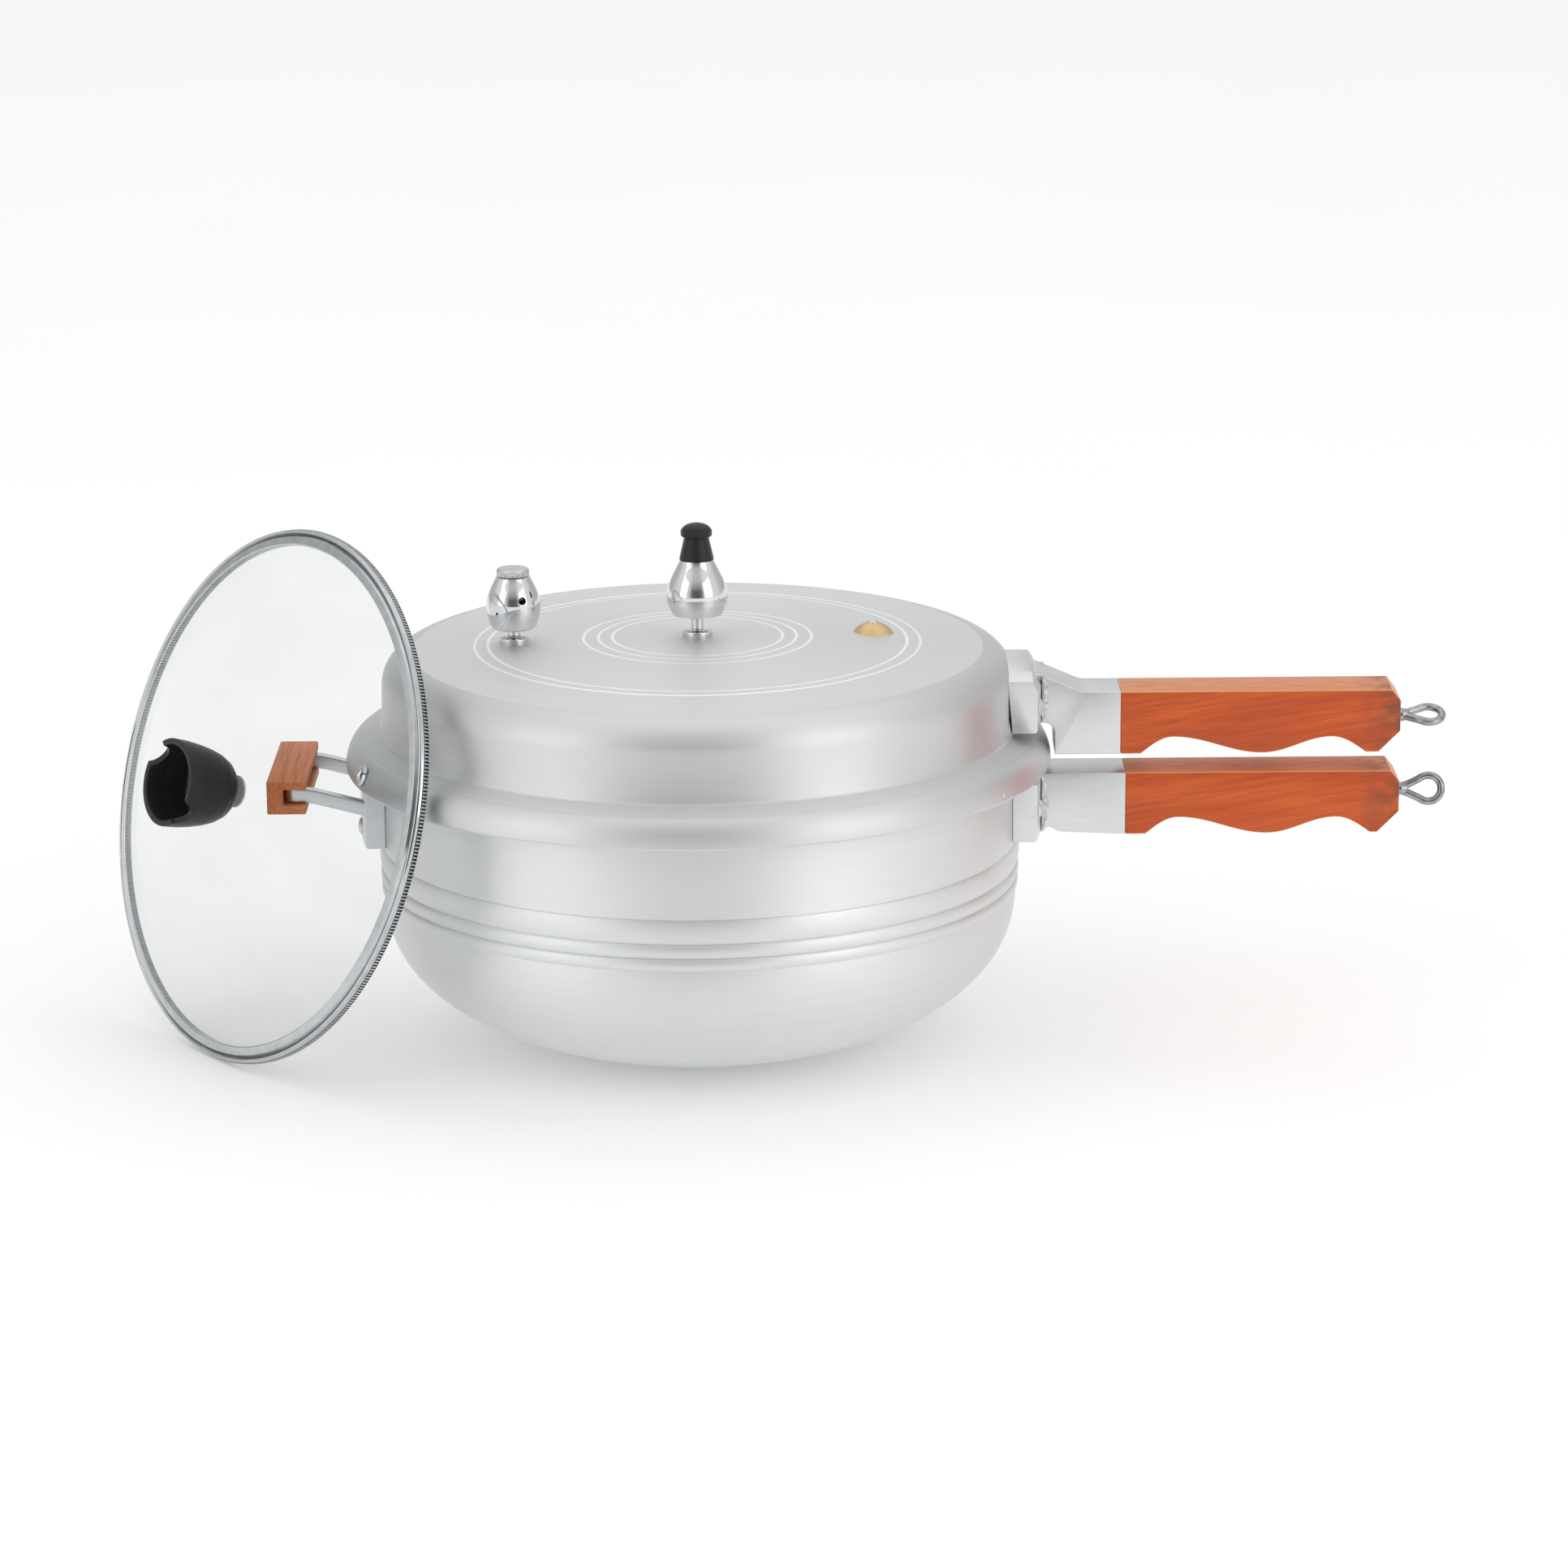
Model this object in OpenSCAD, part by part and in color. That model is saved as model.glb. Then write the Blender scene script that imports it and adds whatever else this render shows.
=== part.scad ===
// Stovetop pressure cooker with an outer bayonet lid, a weight regulator, a
// spring relief valve, a fusible safety plug and a separate leaning glass lid.
// The origin is on the floor, on the pot's axis. The long handles point along +X.

/* [Pot] */
// Outside radius of the pot's wall
pot_r = 150; // [149:0.5:151]
// Thickness of the pot's and the lid's metal
wall = 3; // [2.5:0.25:3]
// Height of the top of the pot's rim
rim_z = 139.4; // [139.2:0.1:139.4]
// How far the rim stands out past the wall
rim_reach = 8; // [7.5:0.25:8]
// Height where the round bowl meets the ribs
bowl_top = 71.8; // [68:0.2:72]
// Roundness of the bowl: 2 is an ellipse and more is squarer
bowl_power = 2.28; // [2:0.02:2.6]
// Height of the three ribs together
ribs_h = 24.2; // [22:0.2:25]
// How far each rib bulges out
rib_bulge = 1.1; // [0.6:0.1:1.4]

/* [Closure] */
// Number of lugs on the lid, and of notches in the rim
lug_count = 6; // [4:1:6]
// Width of one lug, in degrees
lug_angle = 22; // [16:1:24]
// Width of one notch, in degrees
notch_angle = 27; // [25:1:28]

/* [Lid] */
// Height of the lid's highest point
lid_apex = 191.95; // [191:0.05:193]
// Radius of the sphere that the lid's top follows
lid_crown_r = 1617; // [1400:1:1800]
// Radius of the round edge of the dome
lid_fillet = 15; // [13:0.5:16]
// Height of the crease between the dome and the flange
crease_z = 149.7; // [149:0.1:150]
// Height of the skirt's lower edge
skirt_z = 132.6; // [132:0.1:133]
// Radius of the smallest machined ring on the top
ring_r = 40; // [38:0.5:42]

/* [Handles] */
// Width of the grips and their brackets
grip_w = 28; // [26:1:30]
// Height of the grips
grip_h = 29.9; // [28:0.1:30]
// Length of the lid's grip
grip_len = 131; // [125:1:135]
// Length of the pot's grip
low_grip_len = 128.5; // [125:0.5:132]
// Half the width of the saddles on the pot and the lid
saddle_half = 32; // [28:1:34]
// Thickness of the saddles
saddle_t = 11.3; // [9:0.1:12]
// Length of the wooden helper block
block_len = 76; // [70:1:80]

/* [Valves] */
// Distance of the relief valve from the pot's axis
relief_x = 86; // [80:1:90]
// Distance of the safety plug from the pot's axis
plug_x = 82.4; // [78:0.2:86]
// Largest radius of the regulator weight
weight_r = 14.35; // [13:0.05:15]
// Largest radius of the relief valve
relief_r = 12.75; // [12:0.05:13]

/* [Glass lid] */
// Outside radius of the glass lid
glass_r = 126; // [122:1:128]
// Height of the glass dome over its rim
glass_rise = 21; // [18:1:24]
// Thickness of the glass
glass_t = 4; // [3:0.5:4]
// How far the leaning lid tips back, in degrees
lean_tilt = 16; // [14:1:18]
// Direction that the leaning lid faces, in degrees from +X
lean_turn = 216.5; // [215:0.5:218]

/* [Hidden] */
$fn = 96;
small_fn = 48;
gap = 0.05;
through = 1;

// Colours
aluminium = [0.80, 0.81, 0.82];
cast_aluminium = [0.84, 0.85, 0.85];
chrome = [0.78, 0.79, 0.80];
steel = [0.62, 0.63, 0.64];
wood = [0.72, 0.34, 0.18];
pale_wood = [0.74, 0.46, 0.32];
black = [0.12, 0.13, 0.13];
gold = [0.84, 0.69, 0.42];
rubber = [0.25, 0.25, 0.26];
clear_glass = [0.85, 0.92, 0.92, 0.35];

// Pot
rim_t = 3;
rim_r = pot_r + rim_reach;
rim_edge = 1;
inner_r = pot_r - wall;
bowl_r = pot_r - 0.8;
base_drop = 3.5;
floor_t = 3.8;
bowl_steps = 16;
rib_steps = 6;
notch_r = pot_r + 2.5;
groove_z = [bowl_top, bowl_top + 0.25 * ribs_h, bowl_top + 0.525 * ribs_h, bowl_top + ribs_h];

// Lid
skirt_r = pot_r + 15.7;
skirt_in_r = skirt_r - 3.2;
shoulder_r = pot_r + 7;
shoulder_drop = 3.2;
shoulder_steps = 8;
fillet_steps = 8;
crown_step = 12;
dome_r = pot_r - 1.8;
fillet_x = dome_r - lid_fillet;
fillet_z = lid_top(fillet_x) - lid_fillet;
flange_under = 143.2;
ring_radii = [ring_r, ring_r + 6.5, ring_r + 13.5, ring_r + 58.3, ring_r + 64.5];
groove_half = 0.6;
groove_depth = 0.35;
lug_z = 133.2;
lug_t = 2.8;
lug_in_r = pot_r + 3.2;
pitch = 360 / lug_count;
gasket_z = rim_z + 0.3;
gasket_in_r = inner_r + 0.4;
gasket_out_r = shoulder_r + 0.6;

// Handles
lower_z = 97.2;
upper_z = 136.2;
lower_x = 200.5;
upper_x = 198;
saddle_in = pot_r + gap;
saddle_out = pot_r + saddle_t;
low_saddle = [98.5, 126.5];
lid_saddle_z = 151;
crown_rise = 7;
crown_top = 181.5;
socket_wall = 3;
socket_depth = 28;
tenon_gap = 0.1;
lower_rod_z = 114.6;
upper_rod_z = 150.6;
// Stations along a grip: its front rise, the top of its front hollow, its belly, the top of
// its back hollow, and the foot of it
grip_x = [9.5, 24.7, 66.6, 99, 115];
front_h = 8;
back_h = 7.6;
grip_heel = 10;
grip_nose = 4;
arm_drop_x = [157, 180];
arm_root_top = 176.5;
arch_r = 5;
arch_z = 146.5;
rod_r = 2.5;
rod_start = 163;
eye_wire_r = 1.85;
eye_r = 6.15;
eye_neck = 13.8;
rivet_r = 2.5;
rivet_head_r = 4.5;
rivet_head_h = 1.9;
rivet_turn = 8.2;
low_rivet_z = 112.5;
lid_rivet_z = 161;

// Helper handle
helper_out = pot_r + 9.3;
block_x = [-200.5, -182.5];
block_z = [116.4, 132.2];
slot_x = -193.4;
slot_z = [120.4, 128.2];
bar_t = 4.5;
bar_h = 7.2;
bar_x = -193.1;
bar_z = 124.3;
arm_y = block_len / 2 - 4;
arm_fall = 15;
helper_rivet_z = 106;
helper_rivet_turn = 7.5;
helper_screw_y = 19;
helper_screw_r = 1.6;

// Valves, each on a flat seat in the lid's top
stem_foot_r = 7;
stem_foot_h = 3.2;
shank_r = 4;
stem_bore_r = 1.5;
shank_len = 10;
washer_t = 1.2;
nut_t = 4.5;
nut_r = 8.1;
washer_r = 8.5;
vent_seat = lid_top(stem_foot_r);
relief_seat = lid_top(relief_x + stem_foot_r);
vent_r = 2.85;
vent_h = 20;
relief_stem_r = 2.95;
relief_stem_h = 12;
plug_pos = [plug_x, 12.5];
plug_r = 9.7;
plug_shank_r = 6;
plug_core_r = 2.5;
plug_radius = norm(plug_pos);
plug_seat = lid_top(plug_radius + plug_r);

// Rim eyelet
eyelet_turn = 200.6;
eyelet_tip = 22;
eyelet_z = 140;
eyelet_r = 3.2;
eyelet_bore = 2;
eyelet_head = 5;

// Glass lid
rim_half = 4;
rim_w = 9.5;
rim_corner = 1.5;
glass_edge_r = glass_r - 2.5;
glass_ball = (glass_edge_r * glass_edge_r + glass_rise * glass_rise) / (2 * glass_rise);
glass_arc = asin(glass_edge_r / glass_ball);
glass_edge_play = 0.04;
lean_z = (glass_r - rim_corner) * cos(lean_tilt) + (rim_half - rim_corner) * sin(lean_tilt) + rim_corner;
lean_pos = [-202.5, -23.3, lean_z];
knob_len = 34;
knob_hole_r = 4;
knob_notch_turn = 53;

// Height of the lid's top at a distance from the axis
function lid_top(r) = lid_apex - r * r / (2 * lid_crown_r);

// Points along the bowl from its flat base up to the ribs
function bowl(r, depth) = [
    let (start = acos(pow(1 - base_drop / (bowl_top + base_drop), bowl_power / 2)))
    for (i = [0 : bowl_steps])
    let (t = start + (90 - start) * i / bowl_steps)
    [r * pow(sin(t), 2 / bowl_power), bowl_top - depth * pow(cos(t), 2 / bowl_power)]
];

// Points along one rounded rib, without its first point
function rib(z0, z1, r0, r1) = [
    for (i = [1 : rib_steps])
    let (u = i / rib_steps)
    [r0 + (r1 - r0) * u + rib_bulge * sin(180 * u), z0 + (z1 - z0) * u]
];

// Points on an arc with two radii
function arc(x, z, rx, rz, a0, a1, steps) = [
    for (i = [0 : steps])
    let (a = a0 + (a1 - a0) * i / steps)
    [x + rx * cos(a), z + rz * sin(a)]
];

function reversed(points) = [for (i = [len(points) - 1 : -1 : 0]) points[i]];

// A sector of a ring about the axis
module sector(r0, r1, z0, z1, middle, width) {
    rotate([0, 0, middle - width / 2])
        rotate_extrude(angle = width)
            translate([r0, z0])
                square([r1 - r0, z1 - z0]);
}

// Puts its children on a radius of the pot, with their +Z pointing outwards
module radial(turn, z) {
    rotate([0, 0, turn])
        translate([0, 0, z])
            rotate([0, 90, 0])
                children();
}

// A shallow ball cap that stands on z = 0
module ball_cap(r, h) {
    ball = (r * r + h * h) / (2 * h);
    intersection() {
        translate([0, 0, h - ball])
            sphere(ball, $fn = small_fn);
        cylinder(h = h, r = ball, $fn = small_fn);
    }
}

// A rivet along +Z from the inner head to the round outer head
module rivet(start, end) {
    translate([0, 0, start])
        cylinder(h = end - start, r = rivet_r, $fn = small_fn);
    translate([0, 0, start - 1])
        cylinder(h = 1, r = rivet_head_r, $fn = small_fn);
    translate([0, 0, end])
        ball_cap(rivet_head_r, rivet_head_h);
}

// Holes for the rivets of one bracket
module rivet_holes(middle, turn, z) {
    for (side = [-1, 1])
        radial(middle + side * turn, z)
            translate([0, 0, inner_r - 10])
                cylinder(h = 40, r = rivet_r + gap, $fn = small_fn);
}

// A slab that cuts a saddle to its width, at a turn of 0 or 180 degrees
module saddle_width(turn, half, z0, z1) {
    rotate([0, 0, turn])
        translate([pot_r - 40, -half, z0])
            cube([60, 2 * half, z1 - z0]);
}

// ---------- Pot ----------

module pot_body() {
    outer = concat(
        [[0, 0]],
        bowl(bowl_r, bowl_top + base_drop),
        rib(groove_z[0], groove_z[1], bowl_r, bowl_r + 0.3),
        rib(groove_z[1], groove_z[2], bowl_r + 0.3, bowl_r + 0.5),
        rib(groove_z[2], groove_z[3], bowl_r + 0.5, pot_r),
        [[pot_r, rim_z - rim_t],
         [rim_r - rim_edge, rim_z - rim_t],
         [rim_r, rim_z - rim_t + rim_edge],
         [rim_r, rim_z - rim_edge],
         [rim_r - rim_edge, rim_z]]
    );
    inner = concat(
        [[inner_r, rim_z], [inner_r, groove_z[3]]],
        reversed(bowl(bowl_r - wall, bowl_top + base_drop - floor_t)),
        [[0, bowl_inner_floor()]]
    );
    color(aluminium)
        difference() {
            rotate_extrude()
                polygon(concat(outer, inner));
            for (i = [0 : lug_count - 1])
                sector(notch_r, rim_r + through, rim_z - rim_t - through, rim_z + through,
                    (i + 0.5) * pitch, notch_angle);
            rivet_holes(0, rivet_turn, low_rivet_z);
            rivet_holes(180, helper_rivet_turn, helper_rivet_z);
        }
}

// Height of the flat inside floor, where the inner bowl starts
function bowl_inner_floor() = bowl(bowl_r - wall, bowl_top + base_drop - floor_t)[0][1];

module pot_handle_bracket() {
    top = lower_z + grip_h;
    color(cast_aluminium)
        difference() {
            union() {
                intersection() {
                    rotate_extrude()
                        translate([saddle_in, low_saddle[0]])
                            square([saddle_out - saddle_in, low_saddle[1] - low_saddle[0]]);
                    saddle_width(0, saddle_half, 0, rim_z);
                }
                translate([saddle_out - 4, -grip_w / 2, lower_z])
                    cube([lower_x - saddle_out + 4, grip_w, top - lower_z]);
            }
            socket_cut(lower_x, lower_z);
            rod_hole(lower_rod_z);
            rivet_holes(0, rivet_turn, low_rivet_z);
            low_corner_cut(low_saddle[0]);
        }
}

// Rounds the lower outside corner where the pot's bracket leaves its saddle
module low_corner_cut(z) {
    corner_r = 4;
    translate([saddle_out + corner_r + 1, 0, z - corner_r - 0.8])
        rotate([90, 0, 0])
            cylinder(h = grip_w + 2 * through, r = corner_r, center = true, $fn = small_fn);
}

// The cavity that takes a grip's tenon
module socket_cut(x, z) {
    translate([x - socket_depth, -grip_w / 2 + socket_wall, z + socket_wall])
        cube([socket_depth + through, grip_w - 2 * socket_wall, grip_h - 2 * socket_wall]);
}

module rod_hole(z) {
    translate([rod_start - 1, 0, z])
        rotate([0, 90, 0])
            cylinder(h = grip_len, r = rod_r + gap, $fn = small_fn);
}

module pot_handle_rivets() {
    color(cast_aluminium)
        for (side = [-1, 1])
            radial(side * rivet_turn, low_rivet_z)
                rivet(inner_r - 0.1, saddle_out);
}

// The side outline of a grip: x from its root and z from its lower edge
function grip_outline(length) = concat(
    [[0, 0]],
    [for (i = [0 : 5]) [between(0, i / 5), front_h * sin(90 * i / 5)]],
    [for (i = [1 : 10]) [between(1, i / 10), front_h / 2 * (1 + cos(180 * i / 10))]],
    [for (i = [1 : 8]) [between(2, i / 8), back_h / 2 * (1 - cos(180 * i / 8))]],
    [for (i = [1 : 5]) [between(3, i / 5), back_h * cos(90 * i / 5)]],
    [[length - grip_heel, 0], [length, grip_heel], [length, grip_h - grip_nose - 1],
     [length - grip_nose, grip_h], [0, grip_h]]
);

// A place between one station of the grip and the next
function between(n, share) = grip_x[n] + (grip_x[n + 1] - grip_x[n]) * share;

module grip(x, z, rod_z, length) {
    color(wood)
        difference() {
            union() {
                translate([x, grip_w / 2, z])
                    rotate([90, 0, 0])
                        linear_extrude(grip_w)
                            polygon(grip_outline(length));
                translate([x - socket_depth + through, -grip_w / 2 + socket_wall + tenon_gap,
                        z + socket_wall + tenon_gap])
                    cube([socket_depth, grip_w - 2 * (socket_wall + tenon_gap),
                        grip_h - 2 * (socket_wall + tenon_gap)]);
            }
            translate([x - socket_depth, 0, rod_z])
                rotate([0, 90, 0])
                    cylinder(h = length + socket_depth + through, r = rod_r + 0.2, $fn = small_fn);
        }
}

// A long rod that ends in a teardrop hanging eye
module eye_bolt(x, rod_z, eye_turn) {
    eye_x = x + eye_neck;
    slant = asin(eye_r / eye_neck);
    color(steel)
        translate([0, 0, rod_z]) {
            translate([rod_start, 0, 0])
                rotate([0, 90, 0])
                    cylinder(h = x + 1 - rod_start, r = rod_r, $fn = small_fn);
            rotate([eye_turn, 0, 0]) {
                translate([eye_x, 0, 0])
                    rotate_extrude($fn = small_fn)
                        translate([eye_r, 0])
                            circle(eye_wire_r, $fn = 24);
                for (side = [-1, 1])
                    translate([x, 0, 0])
                        rotate([0, 90, side * slant])
                            cylinder(h = eye_neck * cos(slant), r = eye_wire_r, $fn = 24);
            }
        }
}

module pot_handle_grip() {
    grip(lower_x, lower_z, lower_rod_z, low_grip_len);
}

module pot_handle_eye_bolt() {
    eye_bolt(lower_x + low_grip_len + 1.5, lower_rod_z, 75);
}

// ---------- Helper handle ----------

// One arm, straight out of the block and then down into the saddle
module helper_arm(side) {
    bend_x = block_x[1] + 1;
    end_x = -pot_r - 3;
    drop = tan(arm_fall) * (end_x - bend_x);
    half = bar_h / 2;
    difference() {
        translate([0, side * (arm_y - bar_t / 2) + bar_t / 2, bar_z])
            rotate([90, 0, 0])
                linear_extrude(bar_t)
                    polygon([[bar_x + 1, -half], [bend_x, -half], [end_x, -half - drop],
                        [end_x, half - drop], [bend_x, half], [bar_x + 1, half]]);
        cylinder(h = rim_z, r = pot_r + 6);
    }
}

module helper_bracket() {
    color(cast_aluminium)
        difference() {
            union() {
                intersection() {
                    rotate_extrude()
                        translate([saddle_in, low_saddle[0]])
                            square([helper_out - saddle_in, low_saddle[1] - low_saddle[0]]);
                    saddle_width(180, arm_y + 0.7, 0, rim_z);
                }
                for (side = [-1, 1])
                    helper_arm(side);
                translate([bar_x, -arm_y - 0.4, bar_z - bar_h / 2 - 0.1])
                    cube([bar_t, 2 * arm_y + 0.8, bar_h + 0.2]);
            }
            rivet_holes(180, helper_rivet_turn, helper_rivet_z);
            helper_screw_holes(helper_screw_r + gap);
        }
}

module helper_rivets() {
    color(cast_aluminium)
        for (side = [-1, 1])
            radial(180 + side * helper_rivet_turn, helper_rivet_z)
                rivet(inner_r - 0.1, helper_out);
}

module helper_block() {
    color(pale_wood)
        difference() {
            translate([block_x[0], -block_len / 2, block_z[0]])
                cube([block_x[1] - block_x[0], block_len, block_z[1] - block_z[0]]);
            translate([slot_x, -block_len / 2 - through, slot_z[0]])
                cube([block_x[1] - slot_x + through, block_len + 2 * through, slot_z[1] - slot_z[0]]);
            helper_screw_holes(helper_screw_r + gap);
        }
}

module helper_screw_holes(r) {
    for (side = [-1, 1])
        translate([bar_x - 5.2, side * helper_screw_y, bar_z])
            rotate([0, 90, 0])
                cylinder(h = bar_t + 8, r = r, $fn = small_fn);
}

module helper_block_screws() {
    color(steel)
        for (side = [-1, 1])
            translate([bar_x - 5, side * helper_screw_y, bar_z])
                rotate([0, 90, 0]) {
                    cylinder(h = bar_t + 5, r = helper_screw_r, $fn = small_fn);
                    translate([0, 0, bar_t + 5])
                        difference() {
                            ball_cap(3, 1.8);
                            translate([-3, -0.4, 1])
                                cube([6, 0.8, 2]);
                        }
                }
}

// ---------- Lid ----------

function lid_outer() = concat(
    [for (r = [0 : crown_step : fillet_x - 1]) [r, lid_top(r)]],
    arc(fillet_x, fillet_z, lid_fillet, lid_fillet, 90, 0, fillet_steps),
    [[pot_r - 0.1, crease_z]],
    arc(shoulder_r, skirt_z, skirt_r - shoulder_r, crease_z - shoulder_drop - skirt_z, 90, 0, shoulder_steps)
);

function lid_inner() = concat(
    [[skirt_in_r, skirt_z],
     [skirt_in_r, flange_under - 4.2],
     [shoulder_r + 1.5, flange_under],
     [inner_r - 0.1, flange_under]],
    arc(fillet_x, fillet_z, lid_fillet - wall, lid_fillet - wall, 0, 90, fillet_steps),
    [for (i = [floor((fillet_x - 1) / crown_step) : -1 : 0])
        [i * crown_step, lid_top(i * crown_step) - wall]]
);

module lid_shell() {
    color(aluminium)
        difference() {
            union() {
                rotate_extrude()
                    polygon(concat(lid_outer(), lid_inner()));
                for (i = [0 : lug_count - 1])
                    sector(lug_in_r, skirt_in_r + 1.5, lug_z, lug_z + lug_t, i * pitch, lug_angle);
            }
            for (r = ring_radii)
                ring_groove(r);
            valve_seat([0, 0], vent_seat, stem_foot_r, shank_r);
            valve_seat([-relief_x, 0], relief_seat, stem_foot_r, shank_r);
            valve_seat(plug_pos, plug_seat, plug_r, plug_shank_r);
            rivet_holes(0, rivet_turn, lid_rivet_z);
            eyelet_place()
                cylinder(h = 20, r = eyelet_r + gap, center = true, $fn = small_fn);
        }
}

// One machined line on the lid's top
module ring_groove(r) {
    z = lid_top(r);
    rotate_extrude()
        polygon([[r - groove_half, z + 0.3], [r - groove_half, z + 0.02], [r, z - groove_depth],
            [r + groove_half, z + 0.02], [r + groove_half, z + 0.3]]);
}

// A flat seat on the lid's top and the hole under it
module valve_seat(place, z, seat_r, hole_r) {
    translate([place[0], place[1], z])
        cylinder(h = 5, r = seat_r + 0.1, $fn = small_fn);
    translate([place[0], place[1], z - 15])
        cylinder(h = 20, r = hole_r + gap, $fn = small_fn);
}

module lid_gasket() {
    lip = 1.2;
    color(rubber)
        rotate_extrude()
            polygon([[gasket_in_r, gasket_z], [gasket_out_r - lip, gasket_z], [gasket_out_r, gasket_z + lip],
                [gasket_out_r, flange_under], [gasket_in_r, flange_under]]);
}

// The lid's saddle follows the dome and is crowned across its width
module lid_saddle() {
    crown_r = (saddle_half * saddle_half + crown_rise * crown_rise) / (2 * crown_rise);
    in_arc = arc(fillet_x, fillet_z, lid_fillet + gap, lid_fillet + gap, 0, 45, 5);
    intersection() {
        rotate_extrude()
            polygon(concat(
                [[saddle_out, lid_saddle_z], [saddle_out, crown_top - 7], [saddle_out - 1, crown_top - 4],
                 [saddle_out - 3.8, crown_top - 1.5], [saddle_out - 7, crown_top - 0.1]],
                reversed(in_arc),
                [[pot_r + gap, crease_z + 0.3], [pot_r + gap, lid_saddle_z]]
            ));
        saddle_width(0, saddle_half, lid_saddle_z, crown_top + 10);
        translate([pot_r, 0, crown_top - crown_r])
            rotate([0, 90, 0])
                cylinder(h = 60, r = crown_r, center = true, $fn = 128);
    }
}

// The side outline of the lid bracket's arm
function lid_arm_outline() = concat(
    [[saddle_out - 6, lid_saddle_z]],
    arc(saddle_out + 0.7, arch_z, arch_r, arch_r, 110, 0, 6),
    [[saddle_out + 0.9 + arch_r, upper_z], [upper_x, upper_z], [upper_x, upper_z + grip_h],
     [arm_drop_x[1], upper_z + grip_h], [arm_drop_x[0], arm_root_top - 0.5],
     [saddle_out - 6, arm_root_top]]
);

module lid_handle_bracket() {
    color(cast_aluminium)
        difference() {
            union() {
                lid_saddle();
                translate([0, grip_w / 2, 0])
                    rotate([90, 0, 0])
                        linear_extrude(grip_w)
                            polygon(lid_arm_outline());
            }
            socket_cut(upper_x, upper_z);
            rod_hole(upper_rod_z);
            rivet_holes(0, rivet_turn, lid_rivet_z);
        }
}

module lid_handle_rivets() {
    start = dome_r - wall + 0.2;
    color(cast_aluminium)
        for (side = [-1, 1])
            radial(side * rivet_turn, lid_rivet_z)
                rivet(start, saddle_out);
}

module lid_handle_grip() {
    grip(upper_x, upper_z, upper_rod_z, grip_len);
}

module lid_handle_eye_bolt() {
    eye_bolt(upper_x + grip_len + 1, upper_rod_z, 21);
}

// Puts its children on the flange's shoulder, pointing out of it
module eyelet_place() {
    shoulder = shoulder_r + 7.2;
    rotate([0, 0, eyelet_turn])
        translate([shoulder, 0, eyelet_z])
            rotate([0, 90 - eyelet_tip, 0])
                children();
}

module rim_eyelet() {
    color(steel)
        eyelet_place()
            rotate_extrude($fn = small_fn)
                polygon([[eyelet_bore, -3], [eyelet_r, -3], [eyelet_r, 0.4], [eyelet_head, 0.4],
                    [eyelet_head, 1], [eyelet_head - 1, 1.9], [eyelet_bore + 1, 1.9], [eyelet_bore, 1]]);
}

// ---------- Valves ----------

// A hollow stem that stands on a seat, with its shank through the lid
module hollow_stem(place, seat, r, h) {
    color(chrome)
        translate([place[0], place[1], seat])
            rotate_extrude($fn = small_fn)
                polygon([[stem_bore_r, -shank_len], [shank_r, -shank_len], [shank_r, 0], [stem_foot_r, 0],
                    [stem_foot_r, stem_foot_h - 1], [stem_foot_r - 1.5, stem_foot_h], [r, stem_foot_h],
                    [r, h - 1], [r - 0.6, h], [stem_bore_r, h]]);
}

// A flat washer under the lid
module under_washer(place, seat, r, bore) {
    translate([place[0], place[1], seat - wall - gap - washer_t])
        difference() {
            cylinder(h = washer_t, r = r, $fn = small_fn);
            translate([0, 0, -through])
                cylinder(h = washer_t + 2 * through, r = bore + gap, $fn = small_fn);
        }
}

// A hexagon nut under the washer
module under_nut(place, seat, r, bore) {
    translate([place[0], place[1], seat - wall - gap - washer_t - nut_t])
        difference() {
            cylinder(h = nut_t, r = r, $fn = 6);
            translate([0, 0, -through])
                cylinder(h = nut_t + 2 * through, r = bore + gap, $fn = small_fn);
        }
}

module vent_stem() {
    hollow_stem([0, 0], vent_seat, vent_r, vent_h);
}

module vent_washer() {
    color(rubber) under_washer([0, 0], vent_seat, washer_r, shank_r);
}

module vent_nut() {
    color(steel) under_nut([0, 0], vent_seat, nut_r, shank_r);
}

module relief_stem() {
    hollow_stem([-relief_x, 0], relief_seat, relief_stem_r, relief_stem_h);
}

module relief_washer() {
    color(rubber) under_washer([-relief_x, 0], relief_seat, washer_r, shank_r);
}

module relief_nut() {
    color(steel) under_nut([-relief_x, 0], relief_seat, nut_r, shank_r);
}

// Heights inside the relief valve, over its seat
relief_low = 6.8;
relief_high = 30.5;
relief_wide_z = 18;
port_z = 22;
port_r = 1.8;
chamber_z = 10;
chamber_r = 5;
cap_top = 35.6;
cap_plug_z = 27;
plunger_z = relief_stem_h + 0.1;
plunger_t = 1.9;
spindle_r = 1.2;
spring_r = 3.2;
spring_wire = 0.45;
spring_turns = 5;
spring_sides = 8;
spring_steps = 16;

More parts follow.
